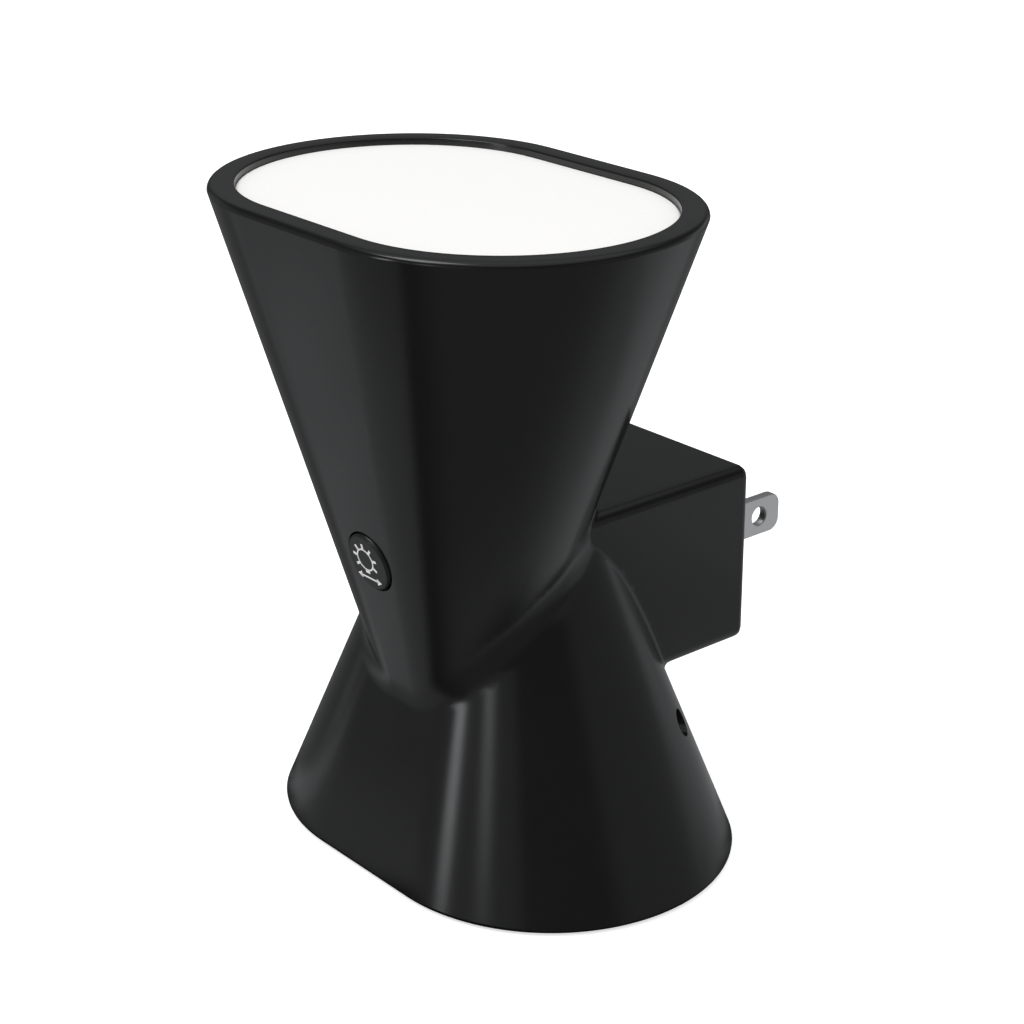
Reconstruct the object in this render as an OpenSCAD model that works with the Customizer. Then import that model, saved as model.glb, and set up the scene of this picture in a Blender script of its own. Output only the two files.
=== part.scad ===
// Plug-in night light: an hourglass body made of two crossing oval flares, lit at both ends,
// with a plug box behind the waist. Millimetres, +Z up, +Y into the wall.
// The origin is on the wall plane, midway between the two plug blades.

/* [Body] */
// Height of the body from base rim to top rim
body_h = 100; // [94:0.5:108]
// Length of both oval rims, left to right
rim_w = 77.4; // [72:0.1:86]
// Depth of both oval rims, front to back
rim_d = 56; // [53:0.1:60]
// Width of the flat ring around each diffuser
rim_band = 4.1; // [3.6:0.1:4.6]
// Radius of the outer edge of both rims
rim_round = 0.9; // [0.4:0.1:1.4]
// Wall of the body at the waist
shell_wall = 2.2; // [1.8:0.1:2.6]
// Distance from the wall to the centre of the top rim
upper_reach = 44; // [43:0.1:46]
// Distance from the wall to the centre of the base rim
lower_reach = 35.2; // [34.5:0.1:36.5]

/* [Flares] */
// End radius that the upper flare loses per mm downwards
upper_taper = 0.253; // [0.24:0.001:0.258]
// Half straight length that the upper flare loses per mm downwards
upper_narrow = 0.115; // [0.105:0.001:0.125]
// Forward lean of the upper flare's axis per mm downwards
upper_lean = 0.014; // [0.01:0.001:0.02]
// End radius that the lower flare loses per mm upwards
lower_taper = 0.328; // [0.32:0.001:0.34]
// Half straight length that the lower flare loses per mm upwards
lower_narrow = 0.126; // [0.12:0.001:0.135]
// Height above the base at which the upper flare ends inside the lower one
upper_foot_h = 19; // [17:0.5:21]
// Height above the base at which the lower flare ends inside the upper one
lower_head_h = 60.5; // [59.5:0.5:62]

/* [Light ends] */
// Depth of each diffuser's face below its rim
diffuser_recess = 1; // [0.6:0.1:1.6]
// Thickness of each diffuser plate
diffuser_t = 2; // [1.5:0.1:2.6]
// Play between each diffuser and the opening around it
diffuser_play = 0.1; // [0.05:0.01:0.2]
// Thickness of the reflector's seating flange
flange_t = 1; // [0.8:0.1:1.4]
// Width of the ledge that carries the reflector's flange
ledge_w = 1.3; // [1:0.1:1.6]
// Depth of the reflector bowl below its flange
bowl_h = 11; // [10:0.1:11.4]
// Wall and floor of the reflector bowl
bowl_wall = 1.2; // [1:0.1:1.6]
// Inward slope of the bowl's side per mm of depth
bowl_taper = 0.45; // [0.4:0.01:0.5]
// Thickness of each LED board
led_board_t = 1.2; // [1:0.1:1.6]
// Gap between each LED board's edge and the bowl
led_board_gap = 0.6; // [0.4:0.1:1]
// Number of LEDs on each board
led_count = 8; // [6:2:10]
// Plan size of one LED
led_size = 3; // [2.6:0.1:3.4]
// Height of one LED
led_t = 0.7; // [0.5:0.1:1]
// Distance between the two screws of an LED board
led_screw_pitch = 34; // [32:0.5:36]

/* [Button] */
// Height of the button's centre above the base
button_h = 49.1; // [48:0.1:52]
// Radius of the button's cap
button_r = 4.5; // [4:0.1:4.8]
// Gap all round the button in its hole
button_gap = 0.22; // [0.15:0.01:0.3]
// How far the button stands out of the body
button_proud = 0.45; // [0.3:0.05:1]
// Travel of the button
button_travel = 0.5; // [0.3:0.05:0.6]
// Radius of the rounded edge of the cap
button_round = 0.5; // [0.3:0.05:0.6]
// Depth of the collar that guides the button, from the body's face
collar_depth = 4.5; // [4:0.1:5]
// Wall of the guide collar
collar_wall = 2.4; // [2:0.1:2.8]
// Thickness of the flange that keeps the button in
button_flange_t = 1.1; // [0.8:0.1:1.4]
// How far that flange reaches past the hole
button_flange_w = 1.6; // [1.2:0.1:1.8]
// Radius of the button's stem
stem_r = 1.6; // [1.4:0.05:1.8]
// Length of the button's stem
stem_len = 2.3; // [2:0.1:2.6]

/* [Switch] */
// Side of the square switch
switch_side = 6; // [5.6:0.1:6.4]
// Height of the switch housing
switch_h = 3.5; // [3.2:0.1:4]
// Radius of the switch plunger
plunger_r = 1.7; // [1.5:0.05:1.8]
// Radial play of the plunger in its bore
plunger_play = 0.08; // [0.05:0.01:0.1]
// How far the plunger stands out of the housing
plunger_proud = 1.5; // [1.3:0.1:2]
// How deep the plunger reaches into the housing
plunger_sunk = 2; // [1.8:0.1:2.2]
// Free room under the plunger at the end of its travel
plunger_spare = 0.2; // [0.15:0.05:0.3]
// Thickness of the switch's metal cover
switch_cover_t = 0.3; // [0.2:0.05:0.4]
// Width of the button board
button_board_w = 22.4; // [22:0.1:23]
// Height of the button board
button_board_h = 11; // [10:0.5:12]
// Thickness of the button board
button_board_t = 1.2; // [1:0.1:1.6]
// Distance between the two screws of the button board
button_screw_pitch = 18; // [17.8:0.1:18.4]

/* [Light sensor] */
// Height of the sensor hole above the base
sensor_h = 20.1; // [19:0.1:21]
// Direction of the sensor hole on the body's right end, from the left-right line
sensor_angle = 41; // [38:0.5:48]
// Radius of the sensor hole
sensor_r = 2; // [2:0.05:2.4]
// Depth of the window below the surface
window_recess = 1.1; // [0.8:0.1:1.4]
// Thickness of the window
window_t = 1.5; // [1.2:0.1:1.8]
// Wall of the socket around the sensor
socket_wall = 1.2; // [1:0.05:1.3]
// Length of the socket from the surface inwards
socket_len = 8; // [7.5:0.1:9]
// Wall of the rubber sleeve around the sensor
sleeve_wall = 0.6; // [0.5:0.05:0.7]
// Length of the photocell's body
photocell_len = 4.4; // [4:0.1:4.8]

/* [Plug box] */
// Height of the plug's centre above the base
plug_h = 39; // [38:0.1:40]
// Width of the plug box
box_w = 32.4; // [32:0.1:33.4]
// Height of the plug box
box_h = 28.6; // [28.2:0.1:29.4]
// Radius of the plug box's rear edges
box_round = 1.4; // [1:0.1:1.6]
// Radius of the plug box's four long edges
box_corner = 1.8; // [1.8:0.1:2.8]
// Wall of the plug box
box_wall = 2.2; // [2:0.1:2.4]
// Distance from the wall at which the box ends inside the flares
box_root = 40; // [39:0.5:41]
// Thickness of the plug cover
cover_t = 3; // [2.8:0.1:3.4]
// Gap all round the plug cover
cover_gap = 0.1; // [0.05:0.01:0.2]
// Length of the corner bosses behind the cover
cover_boss_len = 11; // [10:0.5:12]
// Radius of the corner bosses
cover_boss_r = 2.5; // [2.3:0.05:2.6]

/* [Plug] */
// Distance between the middles of the two blades
blade_pitch = 12.7; // [12.5:0.1:12.9]
// Height of the narrow blade
narrow_blade_h = 6.35; // [6.2:0.05:6.5]
// Height of the wide blade
wide_blade_h = 7.95; // [7.8:0.05:8.1]
// Thickness of both blades
blade_t = 1.5; // [1.4:0.05:1.6]
// Length of both blades outside the wall plane
blade_len = 16.5; // [15.9:0.1:18.2]
// Distance from the wall plane to the hole in each blade
blade_hole_at = 12; // [11.7:0.1:12.4]
// Radius of the hole in each blade
blade_hole_r = 1.56; // [1.55:0.01:1.7]
// Radius of the corners at the blades' tips
blade_round = 2; // [1.5:0.1:2.4]
// Play of the blades in the plug cover
blade_play = 0.05; // [0.03:0.01:0.08]
// How far a blade's shoulder reaches past its sides
shoulder_w = 1.1; // [0.9:0.1:1.2]
// Thickness of a blade's shoulder
shoulder_t = 1.6; // [1.4:0.1:1.8]
// Length of a blade's solder tail behind the shoulder
tail_len = 6; // [5.5:0.1:6.5]
// Height of a blade's solder tail
tail_h = 3; // [2.6:0.1:3.4]
// Thickness of the retainer that clamps the blades
retainer_t = 3.4; // [3.2:0.1:3.8]
// Height of the retainer
retainer_h = 11.4; // [11:0.1:12]
// Width of the retainer
retainer_w = 21; // [20:0.5:22]
// Distance between the two retainer screws
retainer_screw_pitch = 7; // [6.5:0.1:7.5]

/* [Driver board] */
// Thickness of the driver board
board_t = 1.6; // [1.2:0.1:1.8]
// Height of the driver board's top face, from the plug's centre line
board_top = -4.6; // [-5:0.1:-4.4]
// Distance from the wall to the near end of the driver board
board_near = 8; // [7.6:0.1:8.4]
// Length of the driver board
board_len = 26; // [25:0.5:27]
// Gap between the driver board and the box's side walls
board_gap = 0.3; // [0.2:0.05:0.4]
// How far the board rails stand out of the side walls
rail_w = 1.3; // [1.1:0.1:1.6]
// Thickness of each board rail
rail_t = 1.2; // [1:0.1:1.3]
// Radius of the upright capacitor
cap_r = 4; // [3.5:0.1:4.1]
// Height of the upright capacitor
cap_h = 12.5; // [11:0.5:13]
// Radius of the choke
choke_r = 3.5; // [3:0.1:3.7]
// Height of the choke
choke_h = 9; // [8:0.5:10]
// Radius of the fuse resistor
fuse_r = 1.6; // [1.3:0.1:1.8]
// Length of the fuse resistor
fuse_len = 9; // [8:0.5:9.5]

/* [Screws and leads] */
// Radius of the small screws' shanks
screw_r = 1; // [0.9:0.05:1.1]
// Radius of the small screws' heads
screw_head_r = 1.9; // [1.8:0.05:2]
// Height of the small screws' heads
screw_head_h = 1.2; // [1:0.1:1.3]
// Radial play of every screw in its hole
screw_play = 0.06; // [0.04:0.01:0.08]
// Length of the small screws under the head
screw_len = 5; // [4.6:0.1:5.4]
// Wall of every screw boss
boss_wall = 1.2; // [1.1:0.05:1.25]
// Depth of the cover screws' heads below the cover's face
screw_sunk = 0.3; // [0.2:0.05:0.4]
// Length of the plug cover's screws
cover_screw_len = 9; // [8:0.5:10]
// Radius of the inner leads
lead_r = 0.6; // [0.5:0.05:0.65]

/* [Hidden] */
$fn = 96;

black = [0.03, 0.03, 0.035];
opal = [0.96, 0.96, 0.95];
white = [0.92, 0.92, 0.9];
steel = [0.72, 0.73, 0.75];
nickel = [0.66, 0.67, 0.69];
board_green = [0.08, 0.32, 0.16];
arc_steps = 30;
bit = 0.01;

base_z = -plug_h;
rim_z = body_h - plug_h;
rim_r = rim_d / 2;
rim_s = (rim_w - rim_d) / 2;
upper_y = -upper_reach;
lower_y = -lower_reach;
foot_z = base_z + upper_foot_h;
head_z = base_z + lower_head_h;

lip_r = rim_r - rim_band;
ledge_r = lip_r - ledge_w;
flange_depth = diffuser_recess + diffuser_t;
seat_depth = flange_depth + flange_t;

bowl_top_r = ledge_r - 0.3;
bowl_floor_r = bowl_top_r - bowl_taper * bowl_h;
led_board_r = bowl_floor_r - bowl_wall - led_board_gap;
floor_depth = seat_depth + bowl_h;
led_boss_len = screw_len - led_board_t + 1;

// Sections of the two flares at a height z: half straight length, end radius, axis position
function upper_s(z) = rim_s - upper_narrow * (rim_z - z);
function upper_r(z) = rim_r - upper_taper * (rim_z - z);
function upper_axis(z) = upper_y - upper_lean * (rim_z - z);
function lower_s(z) = rim_s - lower_narrow * (z - base_z);
function lower_r(z) = rim_r - lower_taper * (z - base_z);
function mix(a, b, t) = a + (b - a) * t;

// The button's seat on the flat front of the upper flare
button_z = base_z + button_h;
button_y = upper_axis(button_z) - upper_r(button_z);
button_tilt = atan(upper_taper - upper_lean);
button_hole_r = button_r + button_gap;
button_flange_r = button_hole_r + button_flange_w;
stem_end = collar_depth + button_flange_t + stem_len;
switch_face = stem_end + plunger_proud;
switch_back = switch_face + switch_h;
board_boss_r = screw_r + screw_play + boss_wall;

// The sensor's seat on the right end of the lower flare
sensor_z = base_z + sensor_h;
sensor_x = lower_s(sensor_z) + lower_r(sensor_z) * cos(sensor_angle);
sensor_y = lower_y + lower_r(sensor_z) * sin(sensor_angle);
sleeve_r = sensor_r - 0.05;
photocell_r = sleeve_r - sleeve_wall - 0.05;
window_end = window_recess + window_t;
photocell_at = window_end + 0.2;
leg_pitch = 1.5;
leg_len = 2;

// The plug box and its cover
box_in_w = box_w - 2 * box_wall;
box_in_h = box_h - 2 * box_wall;
cover_w = box_in_w - 2 * cover_gap;
cover_hh = box_in_h - 2 * cover_gap;
inner_round = box_corner - 1.4;
cover_screw_x = box_in_w / 2 - cover_boss_r - 0.2;
cover_screw_z = box_in_h / 2 - cover_boss_r - 0.2;
board_w = box_in_w - 2 * board_gap;
board_far = board_near + board_len;

// Corners of the film capacitor, and the middles of the parts along the board, from the wall
film_size = [6, 12.5, 11];
cap_at = board_near + 1.2 + cap_r + 3.2;
choke_at = cap_at + cap_r + choke_r + 1;
socket_size = [5, 3.6, 4.4];
socket_at = board_far - socket_size[1] / 2 - 0.4;
socket_pitch = (box_in_w - 2 * rail_w - socket_size[0] - 0.8) / 3;
socket_x = [for (i = [-1.5 : 1 : 1.5]) i * socket_pitch];
lead_pad_at = board_near + 3.6;

// Shared shapes

module oval(s, r) {
    square([2 * s, 2 * r], center = true);
    for (end = [-1, 1])
        translate([end * s, 0])
            circle(r);
}

module oval_plate(s, r, t) {
    linear_extrude(t)
        oval(s, r);
}

module rounded_bar(w, h, r) {
    square([w - 2 * r, h], center = true);
    square([w, h - 2 * r], center = true);
    for (x = [-1, 1], y = [-1, 1])
        translate([x * (w / 2 - r), y * (h / 2 - r)])
            circle(r);
}

// A solid skinned over closed rings of n points each, counted anticlockwise seen from its end
module skin(rings) {
    n = len(rings[0]);
    last = (len(rings) - 1) * n;
    polyhedron(
        points = [for (ring = rings) each ring],
        faces = concat(
            [[for (i = [0 : n - 1]) i]],
            [for (j = [0 : len(rings) - 2], i = [0 : n - 1], half = [0, 1])
                let (a = j * n + i, b = j * n + (i + 1) % n)
                    half == 0 ? [a, a + n, b + n] : [a, b + n, b]],
            [[for (i = [n - 1 : -1 : 0]) last + i]]));
}

// One oval ring at height z about an axis at y
function oval_ring(z, s, r, y) = [
    for (end = [1, -1], i = [0 : arc_steps])
        let (a = (end > 0 ? -90 : 90) + 180 * i / arc_steps)
            [end * s + r * cos(a), y + r * sin(a), z]];

// Outer form of the upper flare, with its rounded rim
module upper_flare() {
    z1 = rim_z - rim_round;
    skin(concat(
        [oval_ring(foot_z, upper_s(foot_z), upper_r(foot_z), upper_axis(foot_z))],
        [for (a = [0 : 45 : 90])
            oval_ring(z1 + rim_round * sin(a), upper_s(z1),
                upper_r(z1) - rim_round * (1 - cos(a)), upper_axis(z1))]));
}

module lower_flare() {
    z1 = base_z + rim_round;
    skin(concat(
        [for (a = [90 : -45 : 0])
            oval_ring(z1 - rim_round * sin(a), lower_s(z1),
                lower_r(z1) - rim_round * (1 - cos(a)), lower_y)],
        [oval_ring(head_z, lower_s(head_z), lower_r(head_z), lower_y)]));
}

// Hollows of the flares: the wall grows from the waist to the ledge
module upper_hollow() {
    top = rim_z - seat_depth;
    end = foot_z + shell_wall;
    skin([
        oval_ring(end, upper_s(end), upper_r(end) - shell_wall, upper_axis(end)),
        oval_ring(top + bit, rim_s, ledge_r, upper_y)]);
}

module lower_hollow() {
    bottom = base_z + seat_depth;
    end = head_z - shell_wall;
    skin([
        oval_ring(bottom - bit, rim_s, ledge_r, lower_y),
        oval_ring(end, lower_s(end), lower_r(end) - shell_wall, lower_y)]);
}

// One ring of the plug box at a depth y, drawn in from its sides by inset
function box_ring(y, inset) = [
    for (corner = [[1, 1, 0], [1, -1, 90], [-1, -1, 180], [-1, 1, 270]], i = [0 : 6])
        let (a = corner[2] + 15 * i, r = box_corner - inset)
            [corner[0] * (box_w / 2 - box_corner) + r * sin(a), y,
                corner[1] * (box_h / 2 - box_corner) + r * cos(a)]];

module plug_box() {
    skin(concat(
        [box_ring(-box_root, 0)],
        [for (a = [0 : 30 : 90])
            box_ring(box_round * (sin(a) - 1), box_round * (1 - cos(a)))]));
}

module along_y(from, to) {
    translate([0, to, 0])
        rotate([90, 0, 0])
            linear_extrude(to - from)
                children();
}

// Puts its children on the front face at the button: local +Z points out of the body
module at_button() {
    translate([0, button_y, button_z])
        rotate([90 + button_tilt, 0, 0])
            children();
}

module at_sensor() {
    translate([sensor_x, sensor_y, sensor_z])
        rotate([0, 0, sensor_angle])
            rotate([0, 90, 0])
                children();
}

// Local frame of a light end: +Z points out of the body, z = 0 is the rim plane
module at_top() {
    translate([0, upper_y, rim_z])
        children();
}

module at_bottom() {
    translate([0, lower_y, base_z])
        rotate([180, 0, 0])
            children();
}

module led_screw_places() {
    for (x = [-1, 1])
        translate([x * led_screw_pitch / 2, 0, 0])
            children();
}

module cover_screw_places() {
    for (x = [-1, 1], z = [-1, 1])
        translate([x * cover_screw_x, 0, z * cover_screw_z])
            rotate([90, 0, 0])
                children();
}

// A pan-head screw: the head lies above z = 0 and the shank below it
module screw(length) {
    difference() {
        union() {
            cylinder(h = screw_head_h, r = screw_head_r);
            translate([0, 0, -length])
                cylinder(h = length + bit, r = screw_r);
        }
        for (turn = [0, 90])
            rotate([0, 0, turn])
                translate([0, 0, screw_head_h])
                    cube([2 * screw_head_r - 1.2, 0.5, 1.2], center = true);
    }
}

// A countersunk screw: the head's face is at z = 0 and the shank points down
module flat_screw(length) {
    difference() {
        union() {
            translate([0, 0, -screw_head_h])
                cylinder(h = screw_head_h, r1 = screw_r, r2 = screw_head_r);
            translate([0, 0, -length])
                cylinder(h = length - screw_head_h + bit, r = screw_r);
        }
        for (turn = [0, 90])
            rotate([0, 0, turn])
                cube([2 * screw_head_r - 1.2, 0.5, 1.2], center = true);
    }
}

// Body

module reflector_room() {
    translate([0, 0, -seat_depth])
        oval_plate(rim_s, lip_r, seat_depth + 1);
}

module button_collar() {
    at_button() {
        translate([0, 0, -collar_depth])
            cylinder(h = collar_depth - shell_wall / 2, r = button_hole_r + collar_wall);
        for (x = [-1, 1])
            translate([x * button_screw_pitch / 2, 0, -switch_back])
                cylinder(h = switch_back - shell_wall, r = board_boss_r);
    }
}

module button_holes() {
    at_button() {
        translate([0, 0, -collar_depth - bit])
            cylinder(h = collar_depth + 1, r = button_hole_r);
        for (x = [-1, 1])
            translate([x * button_screw_pitch / 2, 0, -switch_back - bit])
                cylinder(h = screw_len - button_board_t + 1, r = screw_r + screw_play);
    }
}

module sensor_socket() {
    at_sensor()
        translate([0, 0, -socket_len])
            cylinder(h = socket_len - shell_wall, r = sensor_r + socket_wall);
}

module sensor_hole() {
    at_sensor()
        translate([0, 0, -socket_len - bit])
            cylinder(h = socket_len + 2, r = sensor_r);
}

module board_rails() {
    for (side = [-1, 1], z = [board_top + 0.1, board_top - board_t - 0.1 - rail_t])
        translate([side * (box_in_w / 2 - rail_w / 2 + 0.25), -board_far, z])
            translate([-(rail_w + 0.5) / 2, 0, 0])
                cube([rail_w + 0.5, board_len, rail_t]);
}

module body_shell() {
    color(black)
        difference() {
            union() {
                difference() {
                    union() {
                        upper_flare();
                        lower_flare();
                        plug_box();
                    }
                    upper_hollow();
                    lower_hollow();
                    along_y(-box_root + shell_wall, 1)
                        rounded_bar(box_in_w, box_in_h, inner_round);
                    at_top()
                        reflector_room();
                    at_bottom()
                        reflector_room();
                }
                button_collar();
                sensor_socket();
                intersection() {
                    board_rails();
                    along_y(-box_root, 0)
                        square([box_w - box_wall, box_h - box_wall], center = true);
                }
                for (x = [-1, 1], z = [-1, 1])
                    translate([x * (box_in_w / 2 - cover_boss_r - 0.2), -cover_t,
                        z * (box_in_h / 2 - cover_boss_r - 0.2)])
                        rotate([90, 0, 0])
                            cover_boss(x, z);
            }
            button_holes();
            sensor_hole();
            translate([0, -cover_t + bit, 0])
                cover_screw_places()
                    cylinder(h = cover_screw_len + screw_sunk - cover_t + 0.7, r = screw_r + screw_play);
        }
}

// A corner boss with a web into its corner of the box
module cover_boss(x, z) {
    cylinder(h = cover_boss_len, r = cover_boss_r);
    web = cover_boss_r + 0.2 + box_wall / 2;
    translate([x > 0 ? 0 : -web, z > 0 ? 0 : -web, 0])
        cube([web, web, cover_boss_len]);
}

// Light ends

module diffuser() {
    translate([0, 0, -flange_depth])
        oval_plate(rim_s, lip_r - diffuser_play, diffuser_t);
}

module reflector() {
    difference() {
        union() {
            translate([0, 0, -seat_depth])
                oval_plate(rim_s, lip_r - diffuser_play, flange_t);
            skin([
                oval_ring(-floor_depth, rim_s, bowl_floor_r, 0),
                oval_ring(-seat_depth + bit, rim_s, bowl_top_r, 0)]);
            led_screw_places()
                translate([0, 0, -floor_depth - led_boss_len])
                    cylinder(h = led_boss_len + bit, r = board_boss_r);
        }
        skin([
            oval_ring(-floor_depth + bowl_wall, rim_s, bowl_floor_r - bowl_wall, 0),
            oval_ring(-flange_depth + 1, rim_s,
                bowl_top_r - bowl_wall + bowl_taper * (flange_t + 1), 0)]);
        led_screw_places()
            translate([0, 0, -floor_depth - led_boss_len - 1])
                cylinder(h = led_boss_len + bowl_wall + 2, r = screw_r + screw_play);
        translate([0, 0, -floor_depth - 1])
            cylinder(h = bowl_wall + 2, r = 2.6);
    }
}

led_board_top = -floor_depth + bowl_wall + led_board_t;

module led_board() {
    difference() {
        translate([0, 0, led_board_top - led_board_t])
            oval_plate(rim_s, led_board_r, led_board_t);
        led_screw_places()
            translate([0, 0, led_board_top - led_board_t - 1])
                cylinder(h = led_board_t + 2, r = screw_r + screw_play);
    }
}

// LEDs in two rows, between the two screws
module leds() {
    row = led_count / 2;
    pitch = (led_screw_pitch - 2 * screw_head_r - led_size - 3) / (row - 1);
    for (side = [-1, 1], i = [0 : row - 1])
        translate([(i - (row - 1) / 2) * pitch, side * led_board_r / 2, led_board_top]) {
            translate([-led_size / 2, -led_size / 2, 0])
                cube([led_size, led_size, led_t]);
        }
}

module led_screws() {
    led_screw_places()
        translate([0, 0, led_board_top])
            screw(screw_len);
}

module top_diffuser() {
    color(opal) at_top() diffuser();
}

module bottom_diffuser() {
    color(opal) at_bottom() diffuser();
}

module top_reflector() {
    color(white) at_top() reflector();
}

module bottom_reflector() {
    color(white) at_bottom() reflector();
}

module top_led_board() {
    color(white) at_top() led_board();
}

module bottom_led_board() {
    color(white) at_bottom() led_board();
}

module top_leds() {
    color("khaki") at_top() leds();
}

module bottom_leds() {
    color("khaki") at_bottom() leds();
}

module top_board_screws() {
    color(steel) at_top() led_screws();
}

module bottom_board_screws() {
    color(steel) at_bottom() led_screws();
}

// Button and switch

module button_cap() {
    color(black)
        at_button() {
            rotate_extrude()
                union() {
                    translate([0, -collar_depth - button_flange_t])
                        square([button_flange_r, button_flange_t]);
                    translate([0, -collar_depth - bit])
                        square([button_r, collar_depth + button_proud - button_round + bit]);
                    translate([0, button_proud - button_round - bit])
                        square([button_r - button_round, button_round + bit]);
                    intersection() {
                        translate([button_r - button_round, button_proud - button_round])
                            circle(button_round);
                        translate([0, -collar_depth])
                            square([button_r, collar_depth + button_proud]);
                    }
                    translate([0, -stem_end])
                        square([stem_r, stem_len + bit]);
                }
        }
}

module switch_plunger() {
    color("dimgray")
        at_button()
            translate([0, 0, -switch_face - plunger_sunk])
                cylinder(h = plunger_sunk + plunger_proud, r = plunger_r);
}

module switch_housing() {
    color([0.1, 0.1, 0.1])
        at_button()
            difference() {
                translate([-switch_side / 2, -switch_side / 2, -switch_back])
                    cube([switch_side, switch_side, switch_h - switch_cover_t]);
                translate([0, 0, -switch_face - plunger_sunk - button_travel - plunger_spare])
                    cylinder(h = switch_h, r = plunger_r + plunger_play);
            }
}

module switch_cover() {
    color(steel)
        at_button()
            difference() {
                translate([-switch_side / 2, -switch_side / 2, -switch_face - switch_cover_t])
                    cube([switch_side, switch_side, switch_cover_t]);
                translate([0, 0, -switch_face - 1])
                    cylinder(h = 2, r = plunger_r + plunger_play);
            }
}

module button_board() {
    color(board_green)
        at_button()
            difference() {
                translate([-button_board_w / 2, -button_board_h / 2, -switch_back - button_board_t])
                    cube([button_board_w, button_board_h, button_board_t]);
                for (x = [-1, 1])
                    translate([x * button_screw_pitch / 2, 0, -switch_back - button_board_t - 1])
                        cylinder(h = button_board_t + 2, r = screw_r + screw_play);
            }
}

module button_board_screws() {
    color(steel)
        at_button()
            for (x = [-1, 1])
                translate([x * button_screw_pitch / 2, 0, -switch_back - button_board_t])
                    rotate([180, 0, 0])
                        screw(screw_len);
}

// Light sensor

module sensor_window() {
    color([0.06, 0.05, 0.06])
        at_sensor()
            translate([0, 0, -window_end])
                cylinder(h = window_t, r = sleeve_r);
}

module sensor_sleeve() {
    color([0.12, 0.12, 0.12])
        at_sensor()
            difference() {
                translate([0, 0, -socket_len])
                    cylinder(h = socket_len - window_end, r = sleeve_r);
                translate([0, 0, -socket_len - 1])
                    cylinder(h = socket_len, r = sleeve_r - sleeve_wall);
            }
}

module photocell() {
    color([0.5, 0.3, 0.25])
        at_sensor() {
            translate([0, 0, -photocell_at - photocell_len])
                cylinder(h = photocell_len, r = photocell_r);
            for (x = [-1, 1])
                translate([0, x * leg_pitch / 2, -photocell_at - photocell_len - leg_len])
                    cylinder(h = leg_len + bit, r = 0.25);
        }
}

// Plug

module plug_cover() {
    color(black)
        difference() {
            along_y(-cover_t, 0)
                rounded_bar(cover_w, cover_hh, inner_round - cover_gap);
            blade_slot(1, narrow_blade_h);
            blade_slot(-1, wide_blade_h);
            cover_screw_places() {
                translate([0, 0, -1])
                    cylinder(h = cover_t + 2, r = screw_r + screw_play);
                translate([0, 0, -1])
                    cylinder(h = screw_sunk + 1 + bit, r = screw_head_r + screw_play);
                translate([0, 0, screw_sunk])
                    cylinder(h = screw_head_h, r1 = screw_head_r + screw_play,
                        r2 = screw_r + screw_play);
            }
            for (z = [-1, 1])
                translate([0, -cover_t - 1, z * retainer_screw_pitch / 2])
                    rotate([-90, 0, 0])
                        cylinder(h = cover_t - 0.8 + 1, r = screw_r + screw_play);
        }
}

module blade_slot(side, h) {
    translate([side * blade_pitch / 2, 0, 0])
        cube([blade_t + 2 * blade_play, 4 * cover_t, h + 2 * blade_play], center = true);
}

// One blade: a rounded tip, a shoulder behind the cover and a solder tail
module blade(h) {
    tip = blade_len;
    rotate([0, 90, 0])
        translate([0, 0, -blade_t / 2])
            linear_extrude(blade_t)
                difference() {
                    union() {
                        translate([-h / 2, -cover_t])
                            square([h, cover_t + tip - blade_round]);
                        translate([blade_round - h / 2, -cover_t])
                            square([h - 2 * blade_round, cover_t + tip]);
                        for (side = [-1, 1])
                            translate([side * (h / 2 - blade_round), tip - blade_round])
                                circle(blade_round);
                        translate([-h / 2 - shoulder_w, -cover_t - shoulder_t])
                            square([h + 2 * shoulder_w, shoulder_t]);
                        translate([-tail_h / 2, -cover_t - shoulder_t - tail_len])
                            square([tail_h, tail_len + bit]);
                    }
                    translate([0, blade_hole_at])
                        circle(blade_hole_r);
                }
}

module narrow_blade() {
    color(nickel)
        translate([blade_pitch / 2, 0, 0])
            blade(narrow_blade_h);
}

module wide_blade() {
    color(nickel)
        translate([-blade_pitch / 2, 0, 0])
            blade(wide_blade_h);
}

module blade_retainer() {
    color(white)
        difference() {
            along_y(-cover_t - retainer_t, -cover_t)
                square([retainer_w, retainer_h], center = true);
            for (side = [-1, 1])
                translate([side * blade_pitch / 2, 0, 0]) {
                    h = side > 0 ? narrow_blade_h : wide_blade_h;
                    translate([0, -cover_t, 0])
                        cube([blade_t + 2 * blade_play, 2 * shoulder_t,
                            h + 2 * shoulder_w + 2 * blade_play], center = true);
                    translate([0, -cover_t - retainer_t / 2, 0])
                        cube([blade_t + 2 * blade_play, 2 * retainer_t, tail_h + 0.2],
                            center = true);
                }
            for (z = [-1, 1])
                translate([0, -cover_t + 1, z * retainer_screw_pitch / 2])
                    rotate([90, 0, 0])
                        cylinder(h = retainer_t + 2, r = screw_r + screw_play);
        }
}

module retainer_screws() {
    color(steel)
        for (z = [-1, 1])
            translate([0, -cover_t - retainer_t, z * retainer_screw_pitch / 2])
                rotate([90, 0, 0])
                    screw(screw_len);
}

module cover_screws() {
    color(steel)
        translate([0, -screw_sunk, 0])
            cover_screw_places()
                rotate([180, 0, 0])
                    flat_screw(cover_screw_len);
}

// Driver board and what stands on it

module driver_board() {
    color(board_green)
        translate([-board_w / 2, -board_far, board_top - board_t])
            cube([board_w, board_len, board_t]);
}

// Puts its children on the board's top face, at x and at a distance from the wall
module on_board(x, from_wall) {
    translate([x, -from_wall, board_top])
        children();
}

module upright_capacitor() {
    color("midnightblue")
        on_board(0, cap_at)
            rotate_extrude()
                difference() {
                    square([cap_r, cap_h]);
                    translate([cap_r + 0.2, 1.4])
                        circle(0.5);
                }
}

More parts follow.
